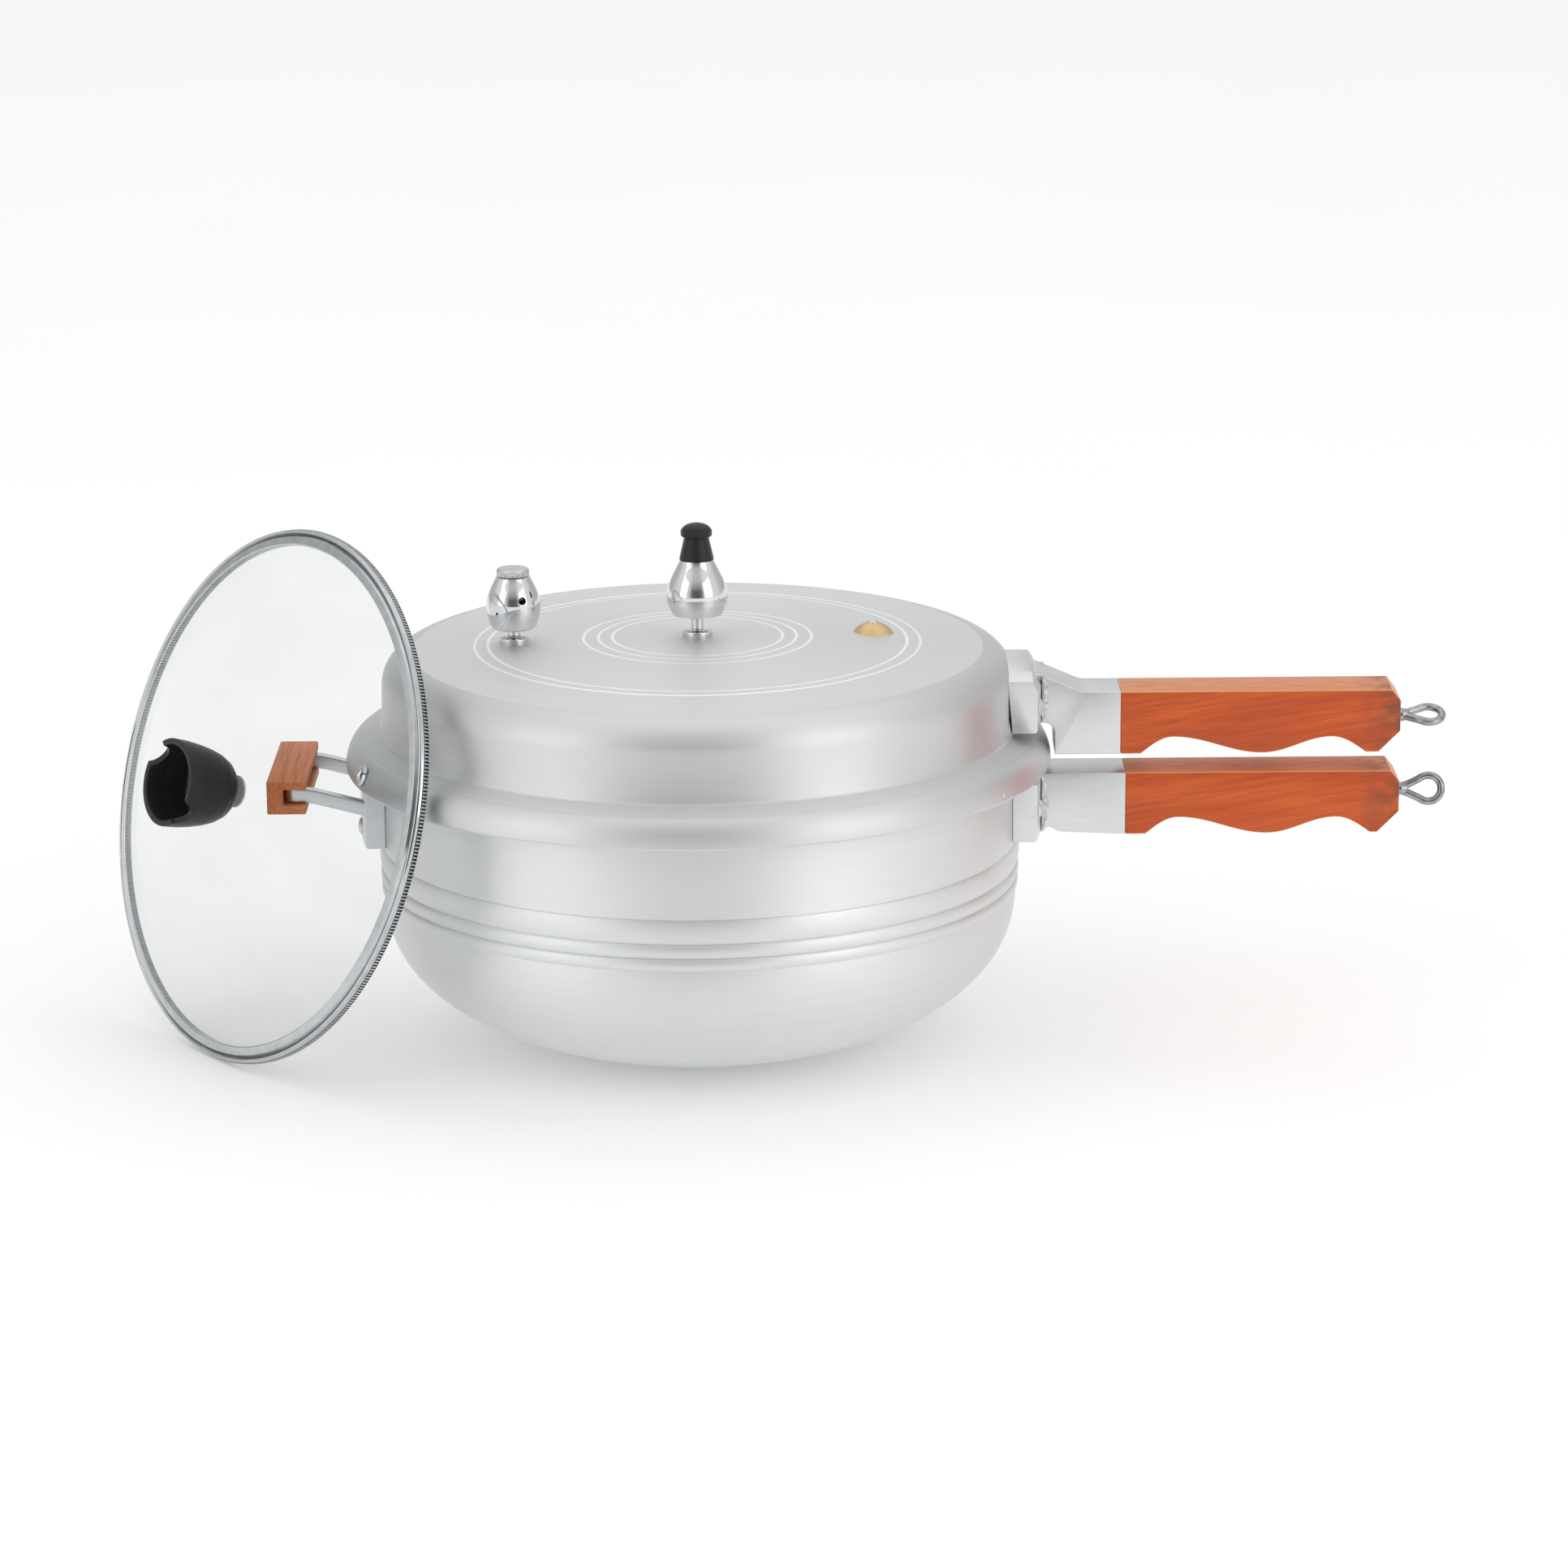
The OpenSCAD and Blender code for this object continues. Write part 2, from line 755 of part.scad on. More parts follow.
// The egg-shaped body of the relief valve, with its side port
module relief_body() {
    low_r = relief_r - 2.3;
    top_r = 7.7;
    color(chrome)
        translate([-relief_x, 0, relief_seat])
            difference() {
                rotate_extrude($fn = small_fn)
                    polygon(concat(
                        [[relief_stem_r + gap, relief_low], [low_r - 0.8, relief_low]],
                        [for (i = [0 : 6]) let (u = 1 - i / 6)
                            [relief_r - (relief_r - low_r) * u * u,
                             relief_wide_z - (relief_wide_z - relief_low - 0.8) * u]],
                        [for (i = [1 : 9]) let (u = i / 9)
                            [top_r + (relief_r - top_r) * pow(cos(90 * u), 1.1),
                             relief_wide_z + (relief_high - relief_wide_z) * u]],
                        [[chamber_r, relief_high], [chamber_r, chamber_z], [relief_stem_r + gap, chamber_z]]
                    ));
                rotate([0, 0, -67])
                    translate([chamber_r - 1, 0, port_z])
                        rotate([0, 90, 0])
                            cylinder(h = 12, r = port_r, $fn = small_fn);
            }
}

// The knurled cap that sets the spring's load
module relief_cap() {
    cap_r = 7.5;
    knurls = 24;
    color(chrome)
        translate([-relief_x, 0, relief_seat])
            difference() {
                union() {
                    rotate_extrude($fn = small_fn)
                        polygon([[0, relief_high], [cap_r, relief_high], [cap_r, cap_top - 1.2],
                            [cap_r - 1.2, cap_top], [0, cap_top]]);
                    translate([0, 0, cap_plug_z])
                        cylinder(h = relief_high - cap_plug_z, r = chamber_r - gap, $fn = small_fn);
                }
                translate([0, 0, cap_plug_z - through])
                    cylinder(h = 6, r = spindle_r + 0.2, $fn = small_fn);
                for (i = [0 : knurls - 1])
                    rotate([0, 0, i * 360 / knurls])
                        translate([cap_r + 0.2, 0, relief_high + 0.6])
                            cylinder(h = cap_top, r = 0.6, $fn = 16);
            }
}

// A ring of points round the spring's wire at one step along it
function spring_ring(i) =
    let (
        total = spring_turns * spring_steps,
        turn = 360 * i / spring_steps,
        low = plunger_z + plunger_t + spring_wire + gap,
        high = cap_plug_z - spring_wire - gap,
        z = low + (high - low) * i / total
    )
    [for (k = [0 : spring_sides - 1])
        let (a = 360 * k / spring_sides, r = spring_r + spring_wire * cos(a))
        [r * cos(turn), r * sin(turn), z + spring_wire * sin(a)]];

module relief_spring() {
    total = spring_turns * spring_steps;
    n = spring_sides;
    points = [for (i = [0 : total]) each spring_ring(i)];
    sides = [for (i = [0 : total - 1], k = [0 : n - 1])
        [i * n + k, i * n + (k + 1) % n, (i + 1) * n + (k + 1) % n, (i + 1) * n + k]];
    ends = [[for (k = [n - 1 : -1 : 0]) k], [for (k = [0 : n - 1]) total * n + k]];
    color(steel)
        translate([-relief_x, 0, relief_seat])
            polyhedron(points, concat(sides, ends), convexity = 10);
}

module relief_plunger() {
    color(gold)
        translate([-relief_x, 0, relief_seat])
            rotate_extrude($fn = small_fn)
                polygon([[0, plunger_z - 2], [stem_bore_r - 0.3, plunger_z - 1.4],
                    [stem_bore_r - 0.1, plunger_z], [4.4, plunger_z], [4.4, plunger_z + plunger_t],
                    [spindle_r, plunger_z + plunger_t], [spindle_r, cap_plug_z + 1.5],
                    [0, cap_plug_z + 1.5]]);
}

// ---------- Safety plug ----------

module safety_plug_body() {
    color(gold)
        translate([plug_pos[0], plug_pos[1], plug_seat])
            difference() {
                union() {
                    ball_cap(plug_r, 5.6);
                    translate([0, 0, -shank_len])
                        cylinder(h = shank_len, r = plug_shank_r, $fn = small_fn);
                }
                translate([0, 0, -shank_len - through])
                    cylinder(h = 20, r = plug_core_r + gap, $fn = small_fn);
            }
}

module safety_plug_core() {
    color(steel)
        translate([plug_pos[0], plug_pos[1], plug_seat - shank_len]) {
            cylinder(h = shank_len + 5.2, r = plug_core_r, $fn = small_fn);
            translate([0, 0, shank_len + 5.2])
                ball_cap(plug_core_r, 1.3);
        }
}

module safety_plug_washer() {
    color(rubber) under_washer(plug_pos, plug_seat, plug_shank_r + 4, plug_shank_r);
}

module safety_plug_nut() {
    color(gold) under_nut(plug_pos, plug_seat, plug_shank_r + 5, plug_shank_r);
}

// ---------- Regulator ----------

// Heights over the vent stem's seat
weight_low = 10.2;
weight_wide_z = 19;
weight_top = 36.3;
weight_top_r = 8;
weight_bore_r = 4.2;
weight_bore_top = 23;
stud_r = 2;
stud_top = 44;
needle_r = 1.55;

module regulator_weight() {
    low_r = 12;
    color(chrome)
        translate([0, 0, vent_seat])
            difference() {
                rotate_extrude($fn = small_fn)
                    polygon(concat(
                        [[0, weight_low], [low_r - 0.8, weight_low]],
                        [for (i = [0 : 6]) let (u = 1 - i / 6)
                            [weight_r - (weight_r - low_r) * u * u,
                             weight_wide_z - (weight_wide_z - weight_low - 0.8) * u]],
                        [for (i = [1 : 9]) let (u = i / 9)
                            [weight_top_r + (weight_r - weight_top_r) * pow(cos(90 * u), 1.25),
                             weight_wide_z + (weight_top - weight_wide_z) * u]],
                        [[stud_r, weight_top], [stud_r, stud_top], [0, stud_top]]
                    ));
                translate([0, 0, weight_low - through])
                    cylinder(h = weight_bore_top - weight_low + through, r = weight_bore_r, $fn = small_fn);
                translate([0, 0, weight_bore_top - through])
                    cylinder(h = 8, r = needle_r + gap, $fn = small_fn);
            }
}

// The cone that closes the vent, pressed into the weight
module regulator_needle() {
    seat = vent_h + 0.2;
    color(steel)
        translate([0, 0, vent_seat])
            rotate_extrude($fn = small_fn)
                polygon([[0, seat - 2.5], [0.3, seat - 2.5], [needle_r - 0.1, seat], [needle_r, seat + 0.2],
                    [needle_r, weight_bore_top + 6.9], [0, weight_bore_top + 6.9]]);
}

module regulator_knob() {
    cap_low = 47.3;
    neck_r = 5.6;
    cap_r = 7.35;
    color(black)
        translate([0, 0, vent_seat])
            difference() {
                rotate_extrude($fn = small_fn)
                    polygon(concat(
                        [[0, weight_top], [weight_top_r, weight_top], [neck_r, cap_low],
                         [cap_r, cap_low + 0.4], [cap_r, cap_low + 2.4]],
                        arc(0, cap_low + 2.4, cap_r, 4, 15, 90, 5)
                    ));
                translate([0, 0, weight_top - through])
                    cylinder(h = stud_top - weight_top + through + gap, r = stud_r + gap, $fn = small_fn);
            }
}

// ---------- Glass lid ----------

// Puts the glass lid, made flat with its dome up, in its leaning place
module leaning() {
    translate(lean_pos)
        rotate([0, 90 - lean_tilt, lean_turn])
            children();
}

// A shell of the glass's sphere, cut off at its rim or a little further out
function glass_arc_points(r, more = 0) = arc(0, glass_rise - glass_ball, r, r, 90 - glass_arc - more, 90, 14);

module glass_pane() {
    color(clear_glass)
        leaning()
            difference() {
                rotate_extrude()
                    polygon(concat(
                        glass_arc_points(glass_ball),
                        reversed(glass_arc_points(glass_ball - glass_t))
                    ));
                translate([0, 0, glass_rise - glass_t - through])
                    cylinder(h = glass_t + 2 * through, r = knob_hole_r, $fn = small_fn);
            }
}

// The metal channel round the glass's edge
module glass_rim() {
    c = rim_corner;
    in_r = glass_r - rim_w;
    color(steel)
        leaning()
            difference() {
                rotate_extrude()
                    polygon(concat(
                        arc(glass_r - c, -rim_half + c, c, c, -90, 0, 3),
                        arc(glass_r - c, rim_half - c, c, c, 0, 90, 3),
                        arc(in_r + c, rim_half + 1.5 - c, c, c, 90, 180, 3),
                        arc(in_r + c, -rim_half + c, c, c, 180, 270, 3)
                    ));
                rotate_extrude()
                    polygon(concat(
                        glass_arc_points(glass_ball + gap, glass_edge_play),
                        reversed(glass_arc_points(glass_ball - glass_t - gap, glass_edge_play))
                    ));
            }
}

// The knob's outline: radius and height over the glass
knob_outer = [
    [7.5, 1.2], [10.2, 2.2], [12.8, 5], [15.4, 9.5],
    [17.5, 15], [19.1, 21], [20.1, 27], [20.6, knob_len]
];
knob_cup_r = 17.8;
knob_cup_z = 13;
knob_disc_r = 12.2;

module glass_knob() {
    notch_r = 7;
    color(black)
        leaning()
            translate([0, 0, glass_rise])
                difference() {
                    rotate_extrude($fn = small_fn)
                        polygon(concat(
                            [[0, 1.2]],
                            knob_outer,
                            [[knob_cup_r, knob_len], [knob_cup_r - 1, 25],
                             [knob_cup_r - 3.3, knob_cup_z + 1], [knob_disc_r, knob_cup_z],
                             [knob_disc_r, knob_cup_z + 2], [knob_disc_r - 1, knob_cup_z + 2.6],
                             [0, knob_cup_z + 2.6]]
                        ));
                    translate([0, 0, knob_len + 1])
                        rotate([90, 0, 90 + knob_notch_turn])
                            cylinder(h = 60, r = notch_r, center = true, $fn = small_fn);
                    translate([0, 0, -through])
                        cylinder(h = 10, r = 2 + gap, $fn = small_fn);
                }
}

module knob_screw() {
    low = -glass_t - 1.3;
    color(steel)
        leaning()
            translate([0, 0, glass_rise]) {
                translate([0, 0, low])
                    cylinder(h = 8 - low, r = 2, $fn = small_fn);
                translate([0, 0, low])
                    mirror([0, 0, 1])
                        difference() {
                            ball_cap(4.5, 2.4);
                            translate([-5, -0.5, 1.4])
                                cube([10, 1, 2]);
                        }
            }
}

// One washer on each side of the glass
module knob_washers() {
    color(rubber)
        leaning()
            for (z = [glass_rise + gap, glass_rise - glass_t - 1.25])
                translate([0, 0, z])
                    difference() {
                        cylinder(h = 1.1, r = 7.5, $fn = small_fn);
                        translate([0, 0, -through])
                            cylinder(h = 4, r = 2 + gap, $fn = small_fn);
                    }
}

pot_body();
pot_handle_bracket();
pot_handle_rivets();
pot_handle_grip();
pot_handle_eye_bolt();
helper_bracket();
helper_rivets();
helper_block();
helper_block_screws();
lid_shell();
lid_gasket();
lid_handle_bracket();
lid_handle_rivets();
lid_handle_grip();
lid_handle_eye_bolt();
rim_eyelet();
vent_stem();
vent_washer();
vent_nut();
relief_stem();
relief_washer();
relief_nut();
relief_body();
relief_cap();
relief_spring();
relief_plunger();
safety_plug_body();
safety_plug_core();
safety_plug_washer();
safety_plug_nut();
regulator_weight();
regulator_needle();
regulator_knob();
glass_pane();
glass_rim();
glass_knob();
knob_screw();
knob_washers();
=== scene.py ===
"""Visual model of a stovetop pressure cooker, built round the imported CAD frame."""
import math

import bmesh
import bpy
from mathutils import Matrix, Vector
from mathutils import noise as noises


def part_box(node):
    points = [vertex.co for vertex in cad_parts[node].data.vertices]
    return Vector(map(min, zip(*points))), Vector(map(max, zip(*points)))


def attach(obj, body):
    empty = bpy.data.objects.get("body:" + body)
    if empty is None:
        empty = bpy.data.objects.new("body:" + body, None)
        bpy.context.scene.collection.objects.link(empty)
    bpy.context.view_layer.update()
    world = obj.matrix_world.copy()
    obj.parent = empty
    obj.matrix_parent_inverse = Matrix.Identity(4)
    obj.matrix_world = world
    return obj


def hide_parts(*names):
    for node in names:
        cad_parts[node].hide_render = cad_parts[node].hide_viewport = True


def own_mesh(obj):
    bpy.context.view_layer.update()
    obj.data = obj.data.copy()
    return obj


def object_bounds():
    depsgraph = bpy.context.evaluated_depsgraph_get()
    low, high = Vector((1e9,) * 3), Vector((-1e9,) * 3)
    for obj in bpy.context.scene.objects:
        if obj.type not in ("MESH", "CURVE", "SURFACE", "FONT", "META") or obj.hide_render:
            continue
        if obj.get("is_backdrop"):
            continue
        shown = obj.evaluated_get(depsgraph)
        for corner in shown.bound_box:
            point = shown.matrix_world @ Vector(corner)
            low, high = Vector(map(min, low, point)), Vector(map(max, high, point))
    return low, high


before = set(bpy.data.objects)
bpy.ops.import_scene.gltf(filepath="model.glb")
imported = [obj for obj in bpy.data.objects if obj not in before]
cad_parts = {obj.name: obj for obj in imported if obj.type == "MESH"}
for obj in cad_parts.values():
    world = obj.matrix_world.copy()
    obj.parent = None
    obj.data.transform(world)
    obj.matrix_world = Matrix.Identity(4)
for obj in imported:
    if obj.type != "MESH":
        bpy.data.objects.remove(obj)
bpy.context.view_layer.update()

MM = 0.001


# ---------- Places, in millimetres, from the CAD ----------

def box(node):
    """Lowest and highest corner of a CAD node, in millimetres."""
    low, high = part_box(node)
    return low / MM, high / MM


def middle(node):
    """Middle of a CAD node's box, in millimetres."""
    low, high = box(node)
    return (low + high) / 2


POT_HIGH = box("pot_body")[1]
LID_LOW, LID_HIGH = box("lid_shell")
RIM_R = POT_HIGH.x
RIM_Z = POT_HIGH.z
POT_R = RIM_R - 8
WALL = 3
BOWL_R = POT_R - 0.8
BOWL_TOP = 71.8
BOWL_POWER = 2.28
BASE_DROP = 3.5
FLOOR_T = 3.8
GROOVES = (BOWL_TOP, BOWL_TOP + 6, BOWL_TOP + 12.7, BOWL_TOP + 24.2)
SKIRT_R = LID_HIGH.x
SKIRT_Z = LID_LOW.z
LID_APEX = LID_HIGH.z
CROWN_R = 1617
DOME_R = POT_R - 1.8
FILLET = 15
CREASE_Z = SKIRT_Z + 17.1
RINGS = (40, 46.5, 53.5, 98.3, 104.5)
SADDLE_OUT = POT_R + 11.3
SADDLE_LOW = 98.5
SADDLE_HIGH = 126.5
LEAN_TILT = 16
LEAN_TURN = 216.5
KNOB_NOTCH_TURN = 53
EYELET_TURN = 200.6
GLASS_R = 126


def lid_top(radius):
    """Height of the lid's top at a distance from the axis."""
    return LID_APEX - radius * radius / (2 * CROWN_R)


# ---------- Mesh helpers ----------

def mark_sharp(mesh, degrees):
    """Smooth shading, except along edges that turn by more than an angle."""
    work = bmesh.new()
    work.from_mesh(mesh)
    bmesh.ops.recalc_face_normals(work, faces=work.faces)
    limit = math.radians(degrees)
    for face in work.faces:
        face.smooth = True
    for edge in work.edges:
        edge.smooth = edge.calc_face_angle(0) < limit
    work.to_mesh(mesh)
    work.free()


def mesh_object(name, points, faces, sharp=35, matrix=None):
    """An object from points in millimetres."""
    mesh = bpy.data.meshes.new(name)
    place = matrix or Matrix.Identity(4)
    mesh.from_pydata([(place @ Vector(p)) * MM for p in points], [], faces)
    mark_sharp(mesh, sharp)
    obj = bpy.data.objects.new(name, mesh)
    bpy.context.scene.collection.objects.link(obj)
    return obj


def turned(name, profile, steps=128, closed=True, sharp=35, matrix=None, shape=None, span=None):
    """A profile of (radius, height) points turned round Z. shape(radius, z, angle) may move a point."""
    points = []
    rings = []
    whole = span is None
    start, width = span or (0, 360)
    count = steps if whole else steps + 1
    for radius, z in profile:
        if radius < 1e-6 and whole:
            rings.append([len(points)] * count)
            points.append((0, 0, z))
            continue
        ring = []
        for i in range(count):
            angle = math.radians(start + width * i / steps)
            r, h = shape(radius, z, angle) if shape else (radius, z)
            ring.append(len(points))
            points.append((r * math.cos(angle), r * math.sin(angle), h))
        rings.append(ring)
    faces = []
    pairs = list(zip(rings, rings[1:]))
    if closed:
        pairs.append((rings[-1], rings[0]))
    for low, high in pairs:
        for i in range(steps):
            j = (i + 1) % count
            corners = [low[i], low[j], high[j], high[i]]
            corners = list(dict.fromkeys(corners))
            if len(corners) > 2:
                faces.append(corners)
    if not whole:
        faces.append([ring[0] for ring in rings])
        faces.append([ring[-1] for ring in reversed(rings)])
    return mesh_object(name, points, faces, sharp, matrix)


def soft(points, closed=True, steps=4):
    """Rounds each corner of an outline of (x, y, radius) points with a short arc."""
    out = []
    count = len(points)
    for i, point in enumerate(points):
        here = Vector(point[:2])
        radius = point[2] if len(point) > 2 else 0
        ends = not closed and i in (0, count - 1)
        before = Vector(points[i - 1][:2])
        after = Vector(points[(i + 1) % count][:2])
        if radius <= 0 or ends:
            out.append(tuple(here))
            continue
        a = before - here
        b = after - here
        half = a.angle(b) / 2
        reach = min(radius / max(math.tan(half), 1e-3), 0.49 * a.length, 0.49 * b.length)
        start = here + a.normalized() * reach
        end = here + b.normalized() * reach
        for k in range(steps + 1):
            t = k / steps
            out.append(tuple(start.lerp(here, t).lerp(here.lerp(end, t), t)))
    return out


def arc(x, z, rx, rz, first, last, steps):
    """Points on an arc with two radii, in degrees."""
    angles = [math.radians(first + (last - first) * i / steps) for i in range(steps + 1)]
    return [(x + rx * math.cos(a), z + rz * math.sin(a)) for a in angles]


def prism(name, outline, low, high, sharp=35, matrix=None):
    """An outline in X and Z made solid along Y."""
    count = len(outline)
    points = [(x, low, z) for x, z in outline] + [(x, high, z) for x, z in outline]
    faces = [list(range(count)), list(range(2 * count - 1, count - 1, -1))]
    for i in range(count):
        j = (i + 1) % count
        faces.append([i, i + count, j + count, j])
    return mesh_object(name, points, faces, sharp, matrix)


def swept(name, path, ring, up=None, sharp=50):
    """A ring of (side, up) points carried along a path."""
    points = []
    faces = []
    count = len(path)
    path = [Vector(p) for p in path]
    normal = up.normalized() if up else None
    size = len(ring)
    for i, here in enumerate(path):
        before = path[max(i - 1, 0)]
        after = path[min(i + 1, count - 1)]
        along = (after - before).normalized()
        if normal is None:
            normal = along.orthogonal().normalized()
        if up is None:
            normal = (normal - along * normal.dot(along)).normalized()
        side = along.cross(normal).normalized()
        for s, u in ring:
            points.append(here + side * s + normal * u)
    for i in range(count - 1):
        a = i * size
        b = a + size
        for k in range(size):
            m = (k + 1) % size
            faces.append([a + k, a + m, b + m, b + k])
    faces.append(list(range(size)))
    faces.append(list(range((count - 1) * size, count * size))[::-1])
    return mesh_object(name, points, faces, sharp)


def circle_ring(radius, sides=20):
    """A round section for swept()."""
    angles = [2 * math.pi * k / sides for k in range(sides)]
    return [(radius * math.cos(a), radius * math.sin(a)) for a in angles]


def settle(obj, sharp=35):
    """Applies an object's modifiers."""
    depsgraph = bpy.context.evaluated_depsgraph_get()
    mesh = bpy.data.meshes.new_from_object(obj.evaluated_get(depsgraph))
    obj.modifiers.clear()
    obj.data = mesh
    mark_sharp(mesh, sharp)
    return obj


def carve(obj, cutters, sharp=35):
    """Cuts the cutters out of an object and removes them."""
    for cutter in cutters:
        step = obj.modifiers.new("cut", "BOOLEAN")
        step.operation = "DIFFERENCE"
        step.solver = "EXACT"
        step.object = cutter
        bpy.context.view_layer.update()
        settle(obj, sharp)
        bpy.data.objects.remove(cutter)
    return obj


def bevelled(obj, width, segments=3, degrees=40):
    """Rounds an object's sharp edges. The width is in millimetres."""
    step = obj.modifiers.new("edges", "BEVEL")
    step.width = width * MM
    step.segments = segments
    step.limit_method = "ANGLE"
    step.angle_limit = math.radians(degrees)
    step.use_clamp_overlap = True
    step.miter_outer = "MITER_ARC"
    return settle(obj, 60)


def joined(name, parts):
    """Several objects as one."""
    first = parts[0]
    work = bmesh.new()
    for part in parts:
        work.from_mesh(part.data)
    mesh = bpy.data.meshes.new(name)
    work.to_mesh(mesh)
    work.free()
    for part in parts[1:]:
        bpy.data.objects.remove(part)
    first.data = mesh
    first.name = name
    return first


def piece(obj, body, slot, material, *nodes):
    """Puts a finished piece on its body, in place of its CAD nodes."""
    if not obj.data.materials:
        obj.data.materials.append(material)
    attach(obj, body)
    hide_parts(*nodes)
    return obj


def dress(node, material):
    """Gives a CAD node a material and fine rounded edges."""
    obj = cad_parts[node]
    obj.data.materials.clear()
    obj.data.materials.append(material)
    weld = obj.modifiers.new("weld", "WELD")
    weld.merge_threshold = 0.00001
    edges = obj.modifiers.new("edges", "BEVEL")
    edges.width = 0.25 * MM
    edges.segments = 2
    edges.limit_method = "ANGLE"
    edges.angle_limit = math.radians(40)
    edges.harden_normals = False


# ---------- Materials ----------

class Graph:
    """A node material with a Principled shader, in object coordinates."""

    def __init__(self, name, **sockets):
        self.material = bpy.data.materials.new(name)
        self.material.use_nodes = True
        self.tree = self.material.node_tree
        self.shader = self.tree.nodes["Principled BSDF"]
        for key, value in sockets.items():
            self.shader.inputs[key.replace("_", " ")].default_value = value
        self.place = self.add("ShaderNodeTexCoord").outputs["Object"]

    def add(self, kind, **settings):
        """Adds a node and sets its properties."""
        node = self.tree.nodes.new(kind)
        for key, value in settings.items():
            setattr(node, key, value)
        return node

    def link(self, output, socket):
        self.tree.links.new(output, socket)

    def math(self, operation, a, b=0.0):
        """A Math node on two sockets or numbers."""
        node = self.add("ShaderNodeMath", operation=operation)
        for socket, value in zip(node.inputs, (a, b)):
            if isinstance(value, (int, float)):
                socket.default_value = value
            else:
                self.link(value, socket)
        return node.outputs[0]

    def stretch(self, x, y, z, slant=0):
        """Object coordinates turned about Y by an angle in degrees, then scaled along each axis."""
        turn = self.add("ShaderNodeMapping")
        turn.inputs["Rotation"].default_value = (0, math.radians(slant), 0)
        self.link(self.place, turn.inputs["Vector"])
        scale = self.add("ShaderNodeMapping")
        scale.inputs["Scale"].default_value = (x, y, z)
        self.link(turn.outputs[0], scale.inputs["Vector"])
        return scale.outputs[0]

    def lathe_place(self, rings, around=1.0):
        """Coordinates whose fine axis runs across turning marks: the radius and the height."""
        split = self.add("ShaderNodeSeparateXYZ")
        self.link(self.place, split.inputs[0])
        x, y, z = split.outputs
        radius = self.math("SQRT", self.math("ADD", self.math("MULTIPLY", x, x), self.math("MULTIPLY", y, y)))
        join = self.add("ShaderNodeCombineXYZ")
        self.link(self.math("MULTIPLY", radius, rings), join.inputs[0])
        self.link(self.math("MULTIPLY", z, rings), join.inputs[1])
        self.link(self.math("MULTIPLY", self.math("DIVIDE", x, radius), around), join.inputs[2])
        return join.outputs[0]

    def noise(self, vector, scale, detail=4.0, roughness=0.5, distortion=0.0):
        """A noise value from 0 to 1."""
        node = self.add("ShaderNodeTexNoise")
        node.inputs["Scale"].default_value = scale
        node.inputs["Detail"].default_value = detail
        node.inputs["Roughness"].default_value = roughness
        node.inputs["Distortion"].default_value = distortion
        self.link(vector, node.inputs["Vector"])
        return node.outputs["Fac"]

    def span(self, value, low, high, start=0.3, end=0.7):
        """Maps a value's middle range onto new limits."""
        node = self.add("ShaderNodeMapRange")
        node.inputs["From Min"].default_value = start
        node.inputs["From Max"].default_value = end
        node.inputs["To Min"].default_value = low
        node.inputs["To Max"].default_value = high
        self.link(value, node.inputs["Value"])
        return node.outputs[0]

    def ramp(self, value, *stops):
        """A colour from a value, by (position, colour) stops."""
        node = self.add("ShaderNodeValToRGB")
        band = node.color_ramp
        while len(band.elements) < len(stops):
            band.elements.new(0.5)
        for element, (position, colour) in zip(band.elements, stops):
            element.position = position
            element.color = (*colour, 1)
        self.link(value, node.inputs[0])
        return node.outputs[0]

    def blend(self, share, a, b):
        """Mixes two colours."""
        node = self.add("ShaderNodeMix", data_type="RGBA")
        for socket, value in ((node.inputs[0], share), (node.inputs[6], a), (node.inputs[7], b)):
            if isinstance(value, (int, float)):
                socket.default_value = value
            elif isinstance(value, tuple):
                socket.default_value = (*value, 1)
            else:
                self.link(value, socket)
        return node.outputs[2]

    def facing(self):
        """The three parts of the surface's own normal."""
        split = self.add("ShaderNodeSeparateXYZ")
        self.link(self.add("ShaderNodeTexCoord").outputs["Normal"], split.inputs[0])
        return split.outputs

    def end_stain(self, start, end):
        """A patchy stain that grows along X between two places."""
        split = self.add("ShaderNodeSeparateXYZ")
        self.link(self.place, split.inputs[0])
        reach = self.span(split.outputs[0], 0, 0.85, start, end)
        return self.math("MULTIPLY", reach, self.span(self.noise(self.place, 160, 3), 0.0, 1.0, 0.35, 0.6))

    def edge(self):
        """From 0 on a boxy piece's flats to 1 on its rounded edges along X and Y."""
        x, y, z = self.facing()
        level = self.math("ABSOLUTE", z)
        sides = self.math("ADD", self.math("ABSOLUTE", x), self.math("ABSOLUTE", y))
        return self.span(self.math("MULTIPLY", level, sides), 0, 1, 0.12, 0.45)

    def colour(self, value):
        self.link(value, self.shader.inputs["Base Color"])

    def roughness(self, value):
        self.link(value, self.shader.inputs["Roughness"])

    def bump(self, height, strength, distance):
        """Adds a bump in metres; several calls stack."""
        node = self.add("ShaderNodeBump")
        node.inputs["Strength"].default_value = strength
        node.inputs["Distance"].default_value = distance
        self.link(height, node.inputs["Height"])
        socket = self.shader.inputs["Normal"]
        if socket.links:
            self.link(socket.links[0].from_socket, node.inputs["Normal"])
        self.link(node.outputs[0], socket)


